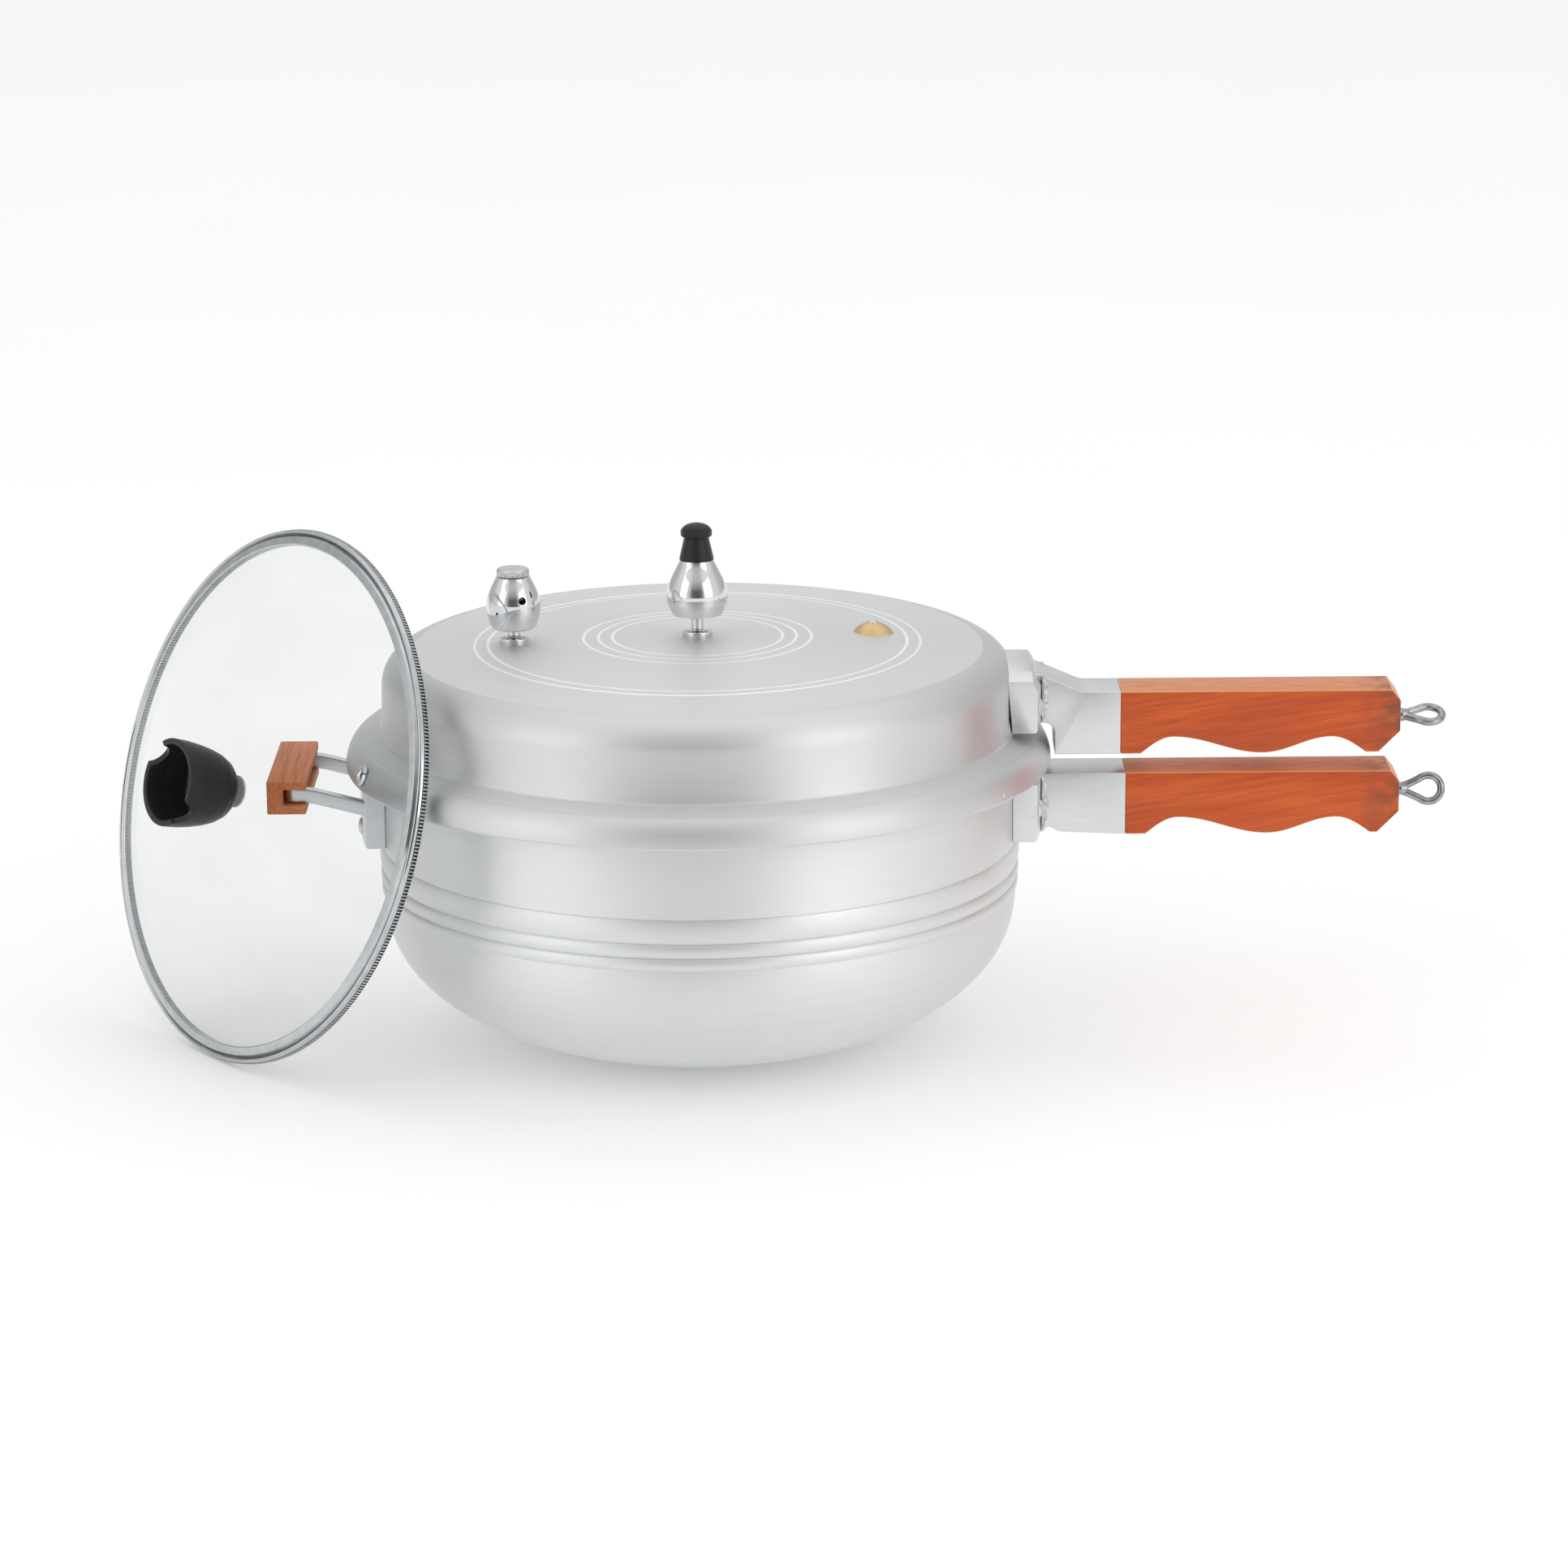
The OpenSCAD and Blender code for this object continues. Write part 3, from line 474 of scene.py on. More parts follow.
def spun_aluminium(name, spread, level=1.0):
    """Satin aluminium with fine turning marks and soft handling marks. The level scales its lightness."""
    g = Graph(name, Metallic=1.0, Anisotropic=spread, Anisotropic_Rotation=0.25)
    marks = g.noise(g.lathe_place(900, 0.8), 1.0, 3)
    cloud = g.noise(g.place, 14, 3)
    dark, light, hazy = (tuple(level * part for part in colour) for colour in
        ((0.73, 0.742, 0.75), (0.77, 0.78, 0.785), (0.71, 0.722, 0.73)))
    tone = g.blend(g.span(marks, 0, 1), dark, light)
    g.colour(g.blend(g.span(cloud, 0.0, 0.3), tone, hazy))
    g.roughness(g.math("ADD", g.span(marks, 0.49, 0.54), g.span(cloud, -0.02, 0.02)))
    around = g.add("ShaderNodeTangent", direction_type="RADIAL", axis="Z")
    g.link(around.outputs[0], g.shader.inputs["Tangent"])
    g.bump(marks, 0.12, 0.00008)
    return g.material


def bright_ring():
    """The bright cut of a machined line."""
    g = Graph("machined_line", Metallic=1.0)
    marks = g.noise(g.lathe_place(3000, 4), 1.0, 2)
    g.colour(g.blend(marks, (0.93, 0.935, 0.94), (0.99, 0.99, 0.99)))
    g.roughness(g.span(marks, 0.42, 0.58))
    return g.material


def cast_aluminium():
    """Sand-cast and brushed aluminium of the brackets."""
    g = Graph("cast_aluminium", Metallic=1.0)
    brush = g.noise(g.stretch(60, 900, 900), 1.0, 4)
    grit = g.noise(g.place, 900, 3)
    cloud = g.noise(g.place, 30, 3)
    tone = g.blend(g.span(brush, 0, 1), (0.69, 0.70, 0.71), (0.77, 0.775, 0.78))
    g.colour(g.blend(g.span(cloud, 0, 0.4), tone, (0.66, 0.67, 0.68)))
    g.roughness(g.math("ADD", g.span(brush, 0.32, 0.42), g.span(cloud, -0.03, 0.04)))
    g.bump(grit, 0.10, 0.00008)
    return g.material


def weld_metal_painted_shade():
    """The rough, mottled bead where an arm is welded to its saddle. Its dark mottling is partly the weld's
    own colour and partly painted shade of the corner, and its pale specks are painted glints.
    """
    g = Graph("weld_metal_painted_shade", Metallic=1.0)
    lumps = g.noise(g.place, 420, 5, 0.6)
    spots = g.noise(g.place, 1300, 2)
    # Painted shade: the dark end of this mottling stands in for shade in the corner, and the pale specks
    # below are painted glints.
    tone = g.blend(g.span(lumps, 0, 1), (0.28, 0.29, 0.31), (0.74, 0.75, 0.76))
    g.colour(g.blend(g.span(spots, 0, 0.5, 0.55, 0.75), tone, (0.93, 0.93, 0.94)))
    g.roughness(g.span(lumps, 0.35, 0.6))
    g.bump(lumps, 0.6, 0.0005)
    g.bump(spots, 0.3, 0.0002)
    return g.material


def clouded_metal(name, scale, detail, dark, light, shine, bump=None):
    """A plated or cast metal, with one noise for its colour, its roughness and its relief."""
    g = Graph(name, Metallic=1.0)
    cloud = g.noise(g.place, scale, detail)
    g.colour(g.blend(g.span(cloud, 0, 1), dark, light))
    g.roughness(g.span(cloud, *shine))
    if bump:
        g.bump(cloud, *bump)
    return g.material


def polished_chrome():
    """Mirror chrome with faint turning haze."""
    g = Graph("chrome", Metallic=1.0)
    haze = g.noise(g.place, 220, 3)
    g.colour(g.blend(haze, (0.66, 0.67, 0.68), (0.78, 0.78, 0.79)))
    g.roughness(g.span(haze, 0.05, 0.11))
    return g.material


def satin_chrome():
    """The duller plating of the knurled cap."""
    return clouded_metal("satin_chrome", 300, 3, (0.52, 0.53, 0.54), (0.64, 0.65, 0.66), (0.18, 0.28))


def zinc_steel():
    """Zinc-plated wire and screws."""
    return clouded_metal("zinc_steel", 350, 4, (0.26, 0.27, 0.28), (0.46, 0.47, 0.48), (0.16, 0.34),
        bump=(0.15, 0.0001))


def bright_zinc():
    """The brighter plating of the pressed eyelet."""
    return clouded_metal("bright_zinc", 500, 3, (0.62, 0.63, 0.64), (0.80, 0.81, 0.82), (0.18, 0.28))


def stainless_rim():
    """The rolled stainless channel round the glass."""
    return clouded_metal("stainless_rim", 160, 3, (0.50, 0.52, 0.53), (0.58, 0.60, 0.61), (0.09, 0.13))


def rim_groove_shade():
    """Painted shade: a dark colour on the steel at the bottom of the rim's groove and between its teeth."""
    return clouded_metal("rim_groove_shade", 300, 3, (0.10, 0.11, 0.11), (0.17, 0.18, 0.18), (0.3, 0.45))


def brass_gold():
    """Gold-coloured anodised plug."""
    return clouded_metal("brass_gold", 260, 3, (0.66, 0.48, 0.25), (0.76, 0.58, 0.32), (0.42, 0.55))


def fusible_metal():
    """The dull tip that melts."""
    return clouded_metal("fusible_metal", 900, 4, (0.50, 0.50, 0.50), (0.80, 0.80, 0.80), (0.25, 0.4),
        bump=(0.2, 0.0001))


def spring_steel():
    """Drawn wire."""
    g = Graph("spring_steel", Metallic=1.0)
    cloud = g.noise(g.place, 700, 3)
    g.colour(g.blend(cloud, (0.42, 0.43, 0.45), (0.62, 0.63, 0.65)))
    g.roughness(g.span(cloud, 0.22, 0.36))
    return g.material


def grip_wood():
    """Orange-brown varnished wood, with its grain along X and its upward faces painted lighter, as if lit
    from above.
    """
    g = Graph("grip_wood", Coat_Weight=0.08, Coat_Roughness=0.3, Specular_IOR_Level=0.3)
    waves = g.noise(g.stretch(9, 55, 55, 9), 1.0, 3, 0.5, 0.6)
    grain = g.noise(g.stretch(26, 620, 620, 9), 1.0, 5, 0.6, 0.5)
    pores = g.noise(g.stretch(60, 1500, 1500, 9), 1.0, 2)
    stops = ((0.25, (0.52, 0.072, 0.012)), (0.5, (0.64, 0.105, 0.018)), (0.75, (0.72, 0.150, 0.030)))
    base = g.ramp(waves, *stops)
    lined = g.blend(g.span(grain, 0.0, 0.6, 0.36, 0.68), base, (0.36, 0.055, 0.016))
    dark = g.blend(g.span(pores, 0.0, 0.45, 0.60, 0.78), lined, (0.15, 0.030, 0.014))
    # Painted light: faces that look up get a lighter colour, as the light from above would give them.
    painted_top_light = g.span(g.facing()[2], 0.0, 0.75, 0.6, 0.95)
    light = g.blend(g.span(grain, 0, 1), (0.80, 0.36, 0.18), (0.68, 0.27, 0.12))
    stained_and_top_lit = g.blend(g.end_stain(0.308, 0.327), g.blend(painted_top_light, dark, light), (0.20, 0.07, 0.035))
    g.colour(g.blend(g.math("MULTIPLY", g.edge(), 0.8), stained_and_top_lit, (0.90, 0.46, 0.22)))
    g.roughness(g.span(grain, 0.40, 0.56))
    g.bump(grain, 0.25, 0.0002)
    g.bump(pores, 0.2, 0.0001)
    return g.material


def block_wood():
    """The sanded wood of the helper block, with its grain along Y."""
    g = Graph("block_wood", Coat_Weight=0.05, Coat_Roughness=0.35, Specular_IOR_Level=0.3)
    waves = g.noise(g.stretch(60, 14, 60), 1.0, 3, 0.5, 0.5)
    grain = g.noise(g.stretch(600, 22, 600), 1.0, 4, 0.6, 0.3)
    base = g.ramp(waves, (0.3, (0.66, 0.20, 0.070)), (0.7, (0.82, 0.29, 0.115)))
    lined = g.blend(g.span(grain, 0.0, 0.6, 0.4, 0.7), base, (0.34, 0.095, 0.04))
    g.colour(g.blend(g.math("MULTIPLY", g.edge(), 0.5), lined, (0.80, 0.40, 0.22)))
    g.roughness(g.span(grain, 0.45, 0.62))
    g.bump(grain, 0.25, 0.00015)
    return g.material


def black_phenolic():
    """Moulded black knob plastic."""
    g = Graph("black_phenolic", IOR=1.5, Specular_IOR_Level=0.3)
    cloud = g.noise(g.place, 240, 4)
    g.colour(g.blend(g.span(cloud, 0, 1), (0.015, 0.017, 0.018), (0.018, 0.020, 0.021)))
    g.roughness(g.span(cloud, 0.36, 0.39))
    return g.material


def seal_rubber():
    """Dark grey seal rubber."""
    g = Graph("seal_rubber", IOR=1.5)
    fine = g.noise(g.place, 900, 3)
    g.colour(g.blend(fine, (0.045, 0.045, 0.047), (0.075, 0.075, 0.078)))
    g.roughness(g.span(fine, 0.55, 0.72))
    g.bump(fine, 0.15, 0.00006)
    return g.material


def pale_silicone():
    """Milky silicone of the washers under the glass knob."""
    g = Graph("pale_silicone", IOR=1.45)
    cloud = g.noise(g.place, 500, 3)
    g.colour(g.blend(cloud, (0.70, 0.71, 0.71), (0.80, 0.81, 0.81)))
    g.roughness(g.span(cloud, 0.4, 0.55))
    return g.material


def clear_glass():
    """Clear tempered glass with a faint grey tint and light smears."""
    g = Graph("clear_glass", IOR=1.05, Transmission_Weight=1.0)
    smear = g.noise(g.stretch(12, 12, 30), 1.0, 4, 0.55, 0.4)
    g.colour(g.blend(g.span(smear, 0, 1), (0.85, 0.865, 0.87), (0.90, 0.91, 0.915)))
    g.roughness(g.span(smear, 0.0, 0.003))
    return g.material


def studio_floor():
    """Plain pale floor."""
    g = Graph("studio_floor", Specular_IOR_Level=0.0, Emission_Strength=0.17)
    g.shader.inputs["Emission Color"].default_value = (1, 1, 1, 1)
    cloud = g.noise(g.place, 3, 2)
    g.colour(g.blend(cloud, (0.91, 0.91, 0.91), (0.93, 0.93, 0.93)))
    g.roughness(g.span(cloud, 0.85, 0.95))
    return g.material


ALUMINIUM = spun_aluminium("spun_aluminium", 0.6, 1.05)
LID_SIDE = spun_aluminium("spun_aluminium_lid", 0.6, 0.93)
LID_TOP = spun_aluminium("spun_aluminium_top", 0.2)
RING = bright_ring()
CAST = cast_aluminium()
WELD = weld_metal_painted_shade()
CHROME = polished_chrome()
CAP = satin_chrome()
ZINC = zinc_steel()
BRIGHT_ZINC = bright_zinc()
STAINLESS = stainless_rim()
GROOVE_SHADE = rim_groove_shade()
GOLD = brass_gold()
FUSIBLE = fusible_metal()
SPRING = spring_steel()
WOOD = grip_wood()
BLOCK = block_wood()
BLACK = black_phenolic()
RUBBER = seal_rubber()
SILICONE = pale_silicone()
GLASS = clear_glass()
LID_MATERIALS = (LID_SIDE, RING, LID_TOP)


# ---------- Pot ----------

def bowl(radius, depth, steps=36):
    """Points along the bowl, from its flat base up to the ribs."""
    first = math.acos((1 - BASE_DROP / (BOWL_TOP + BASE_DROP)) ** (BOWL_POWER / 2))
    turns = [first + (math.pi / 2 - first) * i / steps for i in range(steps + 1)]
    share = 2 / BOWL_POWER
    return [(radius * math.sin(t) ** share, BOWL_TOP - depth * max(math.cos(t), 0) ** share) for t in turns]


def rib(low, high, r_low, r_high, steps=12):
    """Points along one rounded rib, with a fine groove at its lower end."""
    points = [(r_low - 0.25, low), (r_low + 0.1, low + 0.25)]
    for i in range(1, steps):
        u = i / steps
        swell = 1.1 * math.sin(math.pi * u) ** 0.7
        points.append((r_low + (r_high - r_low) * u + swell, low + (high - low) * u))
    return points + [(r_high + 0.1, high - 0.25)]


def pot_profile():
    """The pot's wall, as a closed loop of radius and height."""
    outer = [(0, 0)] + bowl(BOWL_R, BOWL_TOP + BASE_DROP)[:-1]
    starts = (BOWL_R, BOWL_R + 0.3, BOWL_R + 0.5)
    ends = (BOWL_R + 0.3, BOWL_R + 0.5, POT_R)
    for low, high, r_low, r_high in zip(GROOVES, GROOVES[1:], starts, ends):
        outer += rib(low, high, r_low, r_high)
    inside = POT_R - WALL
    rim = soft([(POT_R - 0.25, GROOVES[3], 0), (POT_R, GROOVES[3] + 0.4, 0), (POT_R, RIM_Z - 3, 1.5),
        (RIM_R, RIM_Z - 3, 1), (RIM_R, RIM_Z, 1), (inside, RIM_Z, 1.2), (inside, GROOVES[3], 0)],
        closed=False, steps=5)
    inner = bowl(BOWL_R - WALL, BOWL_TOP + BASE_DROP - FLOOR_T)
    return outer + rim + inner[::-1] + [(0, inner[0][1])]


def rim_notch(turn):
    """A cutter for one of the notches that let the lid's lugs pass."""
    inner = POT_R + 2.5
    outer = RIM_R + 2
    loop = [(inner, RIM_Z - 4), (outer, RIM_Z - 4), (outer, RIM_Z + 1), (inner, RIM_Z + 1)]
    return turned("notch", loop, 16, span=(turn - 13.5, 27))


def pot_shell():
    shell = turned("pot_shell", pot_profile(), 256, sharp=30)
    carve(shell, [rim_notch(60 * i + 30) for i in range(6)], sharp=30)
    piece(shell, "pot", "spun_aluminium", ALUMINIUM, "pot_body")


# ---------- Long handles ----------

GRIP_W = 28
GRIP_H = 29.9
LID_GRIP_LOW = 136.2
EYE_Z = {"lid": 150.6, "pot": 114.6}
GRIP_END = 329


def grip_outline(length):
    """The side outline of a grip: x from its root and z from its lower edge."""
    points = [(0, 0, 0.8)]
    points += [(9.5 + 15.2 * i / 8, 8 * math.sin(math.radians(90 * i / 8)), 0) for i in range(9)]
    points += [(24.7 + 41.9 * i / 18, 4 + 4 * math.cos(math.pi * i / 18), 0) for i in range(1, 19)]
    points += [(66.6 + 32.4 * i / 14, 3.8 - 3.8 * math.cos(math.pi * i / 14), 0) for i in range(1, 15)]
    points += [(99 + 16 * i / 8, 7.6 * math.cos(math.pi * i / 16), 0) for i in range(1, 9)]
    points += [(length - 10, 0, 0.8), (length, 10, 1.2), (length, GRIP_H - 5, 1.2), (length - 4, GRIP_H, 1)]
    return soft(points + [(0, GRIP_H, 0.5)])


def grip(name, body, node, x_root, length):
    """A wooden grip with eased edges, butted against its bracket."""
    low = box(node)[0]
    outline = [(x_root + x, low.z + z) for x, z in grip_outline(length)]
    obj = prism(name, outline, -GRIP_W / 2, GRIP_W / 2)
    bevelled(obj, 1.1, 3, 30)
    piece(obj, body, "grip_wood", WOOD, node)


def teardrop(ring_x, neck_x, radius):
    """The bent wire of a hanging eye, as points in its own plane, from the neck round and back."""
    reach = ring_x - neck_x
    tangent = math.degrees(math.acos(radius / reach))
    start = 180 - tangent
    loop = arc(ring_x, 0, radius, radius, start, -start, 40)
    first = [(neck_x - 2, 0.9), (neck_x, 0.95)]
    end_x, end_z = loop[0]
    shares = (0.25, 0.5, 0.75)
    lead = [(neck_x + (end_x - neck_x) * t, 0.95 + (end_z - 0.95) * t ** 1.3) for t in shares]
    back = [(x, -z) for x, z in reversed(first + lead)]
    return first + lead + loop + back


def hanging_eye(name, body, node, turn):
    """The zinc-plated eye and the neck that leaves the grip."""
    z = EYE_Z[body]
    ring_x = box(node)[1].x - 8
    flat = teardrop(ring_x, GRIP_END + 2, 6.15)
    spin = Matrix.Rotation(math.radians(turn - 90), 4, "X")
    path = [spin @ Vector((x, 0, h)) + Vector((0, 0, z)) for x, h in flat]
    loop = swept(name + "_loop", path, circle_ring(1.85, 18))
    turn_in = Matrix.Translation((GRIP_END - 3, 0, z)) @ Matrix.Rotation(math.radians(90), 4, "Y")
    outline = soft([(0, 0), (3.1, 0, 0), (3.1, 5.5, 1.2), (2.2, 8.5, 0.6), (0, 9.2)])
    neck = turned(name, outline, 32, matrix=turn_in)
    obj = joined(name, [neck, loop])
    piece(obj, body, "zinc_steel", ZINC, node)


def weld_bead(name, body, side, low, high):
    """A lumpy fillet weld up the corner between an arm's side and its saddle."""
    x = SADDLE_OUT - 0.4
    arm_y = GRIP_W / 2 - 0.2
    rows = 34
    columns = 9
    points = []
    faces = []
    for i in range(rows + 1):
        z = low + (high - low) * i / rows
        taper = math.sin(math.pi * min(max(i / rows, 0.02), 0.98)) ** 0.35
        for k in range(columns + 1):
            t = math.pi / 2 * k / columns
            lump = noises.noise(Vector((z * 0.45, k * 0.35, side * 9 + x))) * 0.55
            fine = noises.noise(Vector((z * 1.6, k * 0.9, side * 5 + x))) * 0.22
            reach = (1 - math.sin(t)) * 4.6 * taper
            out = (1 - math.cos(t)) * 3.6 * taper
            swell = (lump + fine) * math.sin(2 * t) * taper
            points.append((x + reach + swell, side * (arm_y + out + swell), z))
    for i in range(rows):
        for k in range(columns):
            a = i * (columns + 1) + k
            faces.append([a, a + 1, a + columns + 2, a + columns + 1])
    back = len(points)
    points += [(x - 1, side * (arm_y - 1), low + (high - low) * i / rows) for i in range(rows + 1)]
    for i in range(rows):
        a = i * (columns + 1)
        faces.append([back + i, a, a + columns + 1, back + i + 1])
        faces.append([a + columns, back + i, back + i + 1, a + 2 * columns + 1])
    faces.append([back] + list(range(columns + 1)))
    top = rows * (columns + 1)
    faces.append([back + rows] + list(range(top + columns, top - 1, -1)))
    obj = mesh_object(name, points, faces, 60)
    obj.data.materials.append(WELD)
    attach(obj, body)


def saddle(name, low, high, half, outer, turn=0, edge=1.6):
    """A curved plate against the pot's wall, cut straight at its two ends."""
    inner = POT_R + 0.05
    loop = soft([(inner, low, 0.6), (outer, low, edge), (outer, high, edge), (inner, high, 0.6)])
    plate = turned(name, loop, 40, span=(turn - 20, 40))
    for side in (-1, 1):
        block = [(-1, low - 5), (60, low - 5), (60, high + 5), (-1, high + 5)]
        place = Matrix.Rotation(math.radians(turn), 4, "Z") @ Matrix.Translation((120, 0, 0))
        ends = sorted((side * half, side * (half + 40)))
        carve(plate, [prism("end", block, ends[0], ends[1], matrix=place)])
    return plate


def pot_bracket():
    low, high = box("pot_handle_bracket")
    plate = saddle("pot_bracket", SADDLE_LOW, SADDLE_HIGH, 32, SADDLE_OUT)
    bevelled(plate, 1.2, 3, 50)
    top = high.z
    outline = soft([(SADDLE_OUT - 4, low.z + 1.6, 0), (SADDLE_OUT + 0.5, 98.6, 0.5),
        (SADDLE_OUT + 3, 101.5, 3), (SADDLE_OUT + 8, 98.6, 6), (high.x, low.z, 0), (high.x, top, 0),
        (SADDLE_OUT - 4, top, 0)])
    arm = prism("arm", outline, -GRIP_W / 2, GRIP_W / 2)
    bevelled(arm, 0.7, 3, 40)
    obj = joined("pot_bracket", [plate, arm])
    piece(obj, "pot", "cast_aluminium", CAST, "pot_handle_bracket")
    for side in (-1, 1):
        weld_bead("pot_weld_" + "lr"[side > 0], "pot", side, SADDLE_LOW + 1, SADDLE_HIGH - 0.7)


def lid_bracket_outline(low, end, top):
    """The side outline of the lid bracket's arm, arched over the flange."""
    arch = arc(SADDLE_OUT + 0.7, 146.5, 5, 5, 110, 0, 10)
    points = [(SADDLE_OUT - 6, 151, 0)] + [(x, z, 0) for x, z in arch]
    points += [(SADDLE_OUT + 5.9, low, 0.6), (end, low, 0), (end, top, 0), (180, top, 14)]
    points += [(157, 176, 4), (SADDLE_OUT - 6, 176.5, 0)]
    return soft(points, steps=6)


def lid_saddle():
    """The lid's saddle: it follows the dome's side and round edge, and is crowned across its width."""
    fillet_x = DOME_R - FILLET
    fillet_z = lid_top(fillet_x) - FILLET
    inner = arc(fillet_x, fillet_z, FILLET + 0.05, FILLET + 0.05, 48, 0, 8)
    outer = soft([(POT_R + 0.05, 151, 0.5), (SADDLE_OUT, 151, 1.6), (SADDLE_OUT, 171, 6),
        (SADDLE_OUT - 4, 178.6, 5), (SADDLE_OUT - 10, 181.4, 3), (inner[0][0], inner[0][1], 0)], closed=False)
    loop = outer + inner[1:]
    plate = turned("lid_bracket", loop, 48, span=(-20, 40))
    for side in (-1, 1):
        block = [(-1, 140), (60, 140), (60, 190), (-1, 190)]
        ends = sorted((side * 32, side * 72))
        carve(plate, [prism("end", block, ends[0], ends[1], matrix=Matrix.Translation((120, 0, 0)))])
    crown = (32 * 32 + 49) / 14
    lens = arc(0, 181.5 - crown, crown, crown, 90 - 24, 90 + 24, 40)
    top = [(y, z, 0) for y, z in lens] + [(-60, 200, 0), (60, 200, 0)]
    quarter = Matrix.Rotation(math.radians(90), 4, "Z")
    carve(plate, [prism("crown", soft(top), -190, -130, matrix=quarter)])
    return plate


def lid_bracket():
    end = box("lid_handle_bracket")[1].x
    plate = bevelled(lid_saddle(), 1.3, 3, 45)
    arm = prism("arm", lid_bracket_outline(LID_GRIP_LOW, end, LID_GRIP_LOW + GRIP_H), -GRIP_W / 2, GRIP_W / 2)
    bevelled(arm, 0.8, 3, 40)
    obj = joined("lid_bracket", [plate, arm])
    piece(obj, "lid", "cast_aluminium", CAST, "lid_handle_bracket")
    for side in (-1, 1):
        weld_bead("lid_weld_" + "lr"[side > 0], "lid", side, 152.2, 174.2)


def long_handles():
    pot_bracket()
    lid_bracket()
    grip("pot_grip", "pot", "pot_handle_grip", 200.5, 128.5)
    grip("lid_grip", "lid", "lid_handle_grip", 198, 131)
    hanging_eye("pot_eye", "pot", "pot_handle_eye_bolt", 75)
    hanging_eye("lid_eye", "lid", "lid_handle_eye_bolt", 21)


# ---------- Helper handle ----------

def helper_strap():
    """The bent strap: out along one arm, across the block's slot and back along the other."""
    x_bar = box("helper_bracket")[0].x + 2.25
    y_arm = 34 - 2.25
    z_bar = 124.3
    drop = math.tan(math.radians(15))
    flat = soft([(-154, y_arm, 0), (x_bar, y_arm, 4.5), (x_bar, -y_arm, 4.5), (-154, -y_arm, 0)],
        closed=False, steps=8)
    path = []
    for (x0, y0), (x1, y1) in zip(flat, flat[1:]):
        count = max(1, int(math.hypot(x1 - x0, y1 - y0) / 3))
        path += [(x0 + (x1 - x0) * i / count, y0 + (y1 - y0) * i / count) for i in range(count)]
    path.append(flat[-1])
    points = []
    for x, y in path:
        slope = max(0, x + 183)
        ease = slope * slope / (slope + 3) if slope else 0
        points.append((x, y, z_bar - drop * ease))
    section = soft([(-2.25, -3.6, 1.3), (2.25, -3.6, 1.3), (2.25, 3.6, 1.3), (-2.25, 3.6, 1.3)])
    return swept("helper_strap", points, section, up=Vector((0, 0, 1)), sharp=40)


def helper_bracket():
    strap = helper_strap()
    plate = saddle("helper_saddle", SADDLE_LOW, SADDLE_HIGH, 34.7, POT_R + 9.3, turn=180, edge=1.8)
    bevelled(plate, 1.6, 4, 50)
    obj = joined("helper_bracket_shape", [plate, strap])
    piece(obj, "pot", "cast_aluminium", CAST, "helper_bracket")


def helper_block():
    """The wooden block, with its slot open towards the pot."""
    low, high = box("helper_block")
    slot_x = box("helper_bracket")[0].x - 0.1
    outline = [(low.x, low.z, 0.8), (high.x, low.z, 0.6), (high.x, 120.4, 0.4), (slot_x, 120.4, 0.5),
        (slot_x, 128.2, 0.5), (high.x, 128.2, 0.4), (high.x, high.z, 0.8), (low.x, high.z, 0.8)]
    obj = prism("helper_grip", soft(outline, steps=3), low.y, high.y)
    bevelled(obj, 0.6, 3, 50)
    piece(obj, "pot", "block_wood", BLOCK, "helper_block")


# ---------- Lid ----------

def lid_profile():
    """The lid's section, as a closed loop of radius and height."""
    fillet_x = DOME_R - FILLET
    fillet_z = lid_top(fillet_x) - FILLET
    points = [(0, LID_APEX)]
    for radius in RINGS:
        last = points[-1][0]
        steps = max(1, int((radius - 1 - last) / 6))
        points += [(last + (radius - 1 - last) * i / steps, 0) for i in range(1, steps)]
        points = [(r, lid_top(r)) for r, _ in points]
        cut = ((-0.75, 0), (-0.5, 0.22), (0, 0.3), (0.5, 0.22), (0.75, 0))
        points += [(radius + side, lid_top(radius + side) - depth) for side, depth in cut]
    last = points[-1][0]
    points += [(last + (fillet_x - last) * i / 6, 0) for i in range(1, 6)]
    points = [(r, z or lid_top(r)) for r, z in points]
    points += arc(fillet_x, fillet_z, FILLET, FILLET, 88, 0, 18)
    rest = [(DOME_R + 0.3, CREASE_Z + 8, 0), (POT_R - 0.1, CREASE_Z, 1.6), (157.5, CREASE_Z - 3, 3)]
    points += soft([points[-1]] + rest + [(163, 143, 0)], closed=False, steps=5)[1:-1]
    points += arc(157, SKIRT_Z + 1, SKIRT_R - 157, CREASE_Z - 4.2 - SKIRT_Z, 78, 0, 16)
    points += [(SKIRT_R - 0.5, SKIRT_Z), (SKIRT_R - 2.7, SKIRT_Z), (SKIRT_R - 3.2, SKIRT_Z + 0.5)]
    points += [(SKIRT_R - 3.2, 139), (158.5, 143.2), (POT_R - WALL - 0.1, 143.2)]
    points += arc(fillet_x, fillet_z, FILLET - WALL, FILLET - WALL, 0, 88, 12)
    points += [(fillet_x * i / 8, lid_top(fillet_x * i / 8) - WALL) for i in range(8, 0, -1)]
    return points + [(0, LID_APEX - WALL)]


def lug(turn):
    """One of the lugs under the skirt that lock beneath the pot's rim."""
    inner = POT_R + 3.2
    outer = SKIRT_R - 1.7
    loop = soft([(inner, 133.2, 0.6), (outer, 133.2, 0), (outer, 136, 0), (inner, 136, 0.6)])
    return turned("lug", loop, 16, span=(turn - 11, 22))


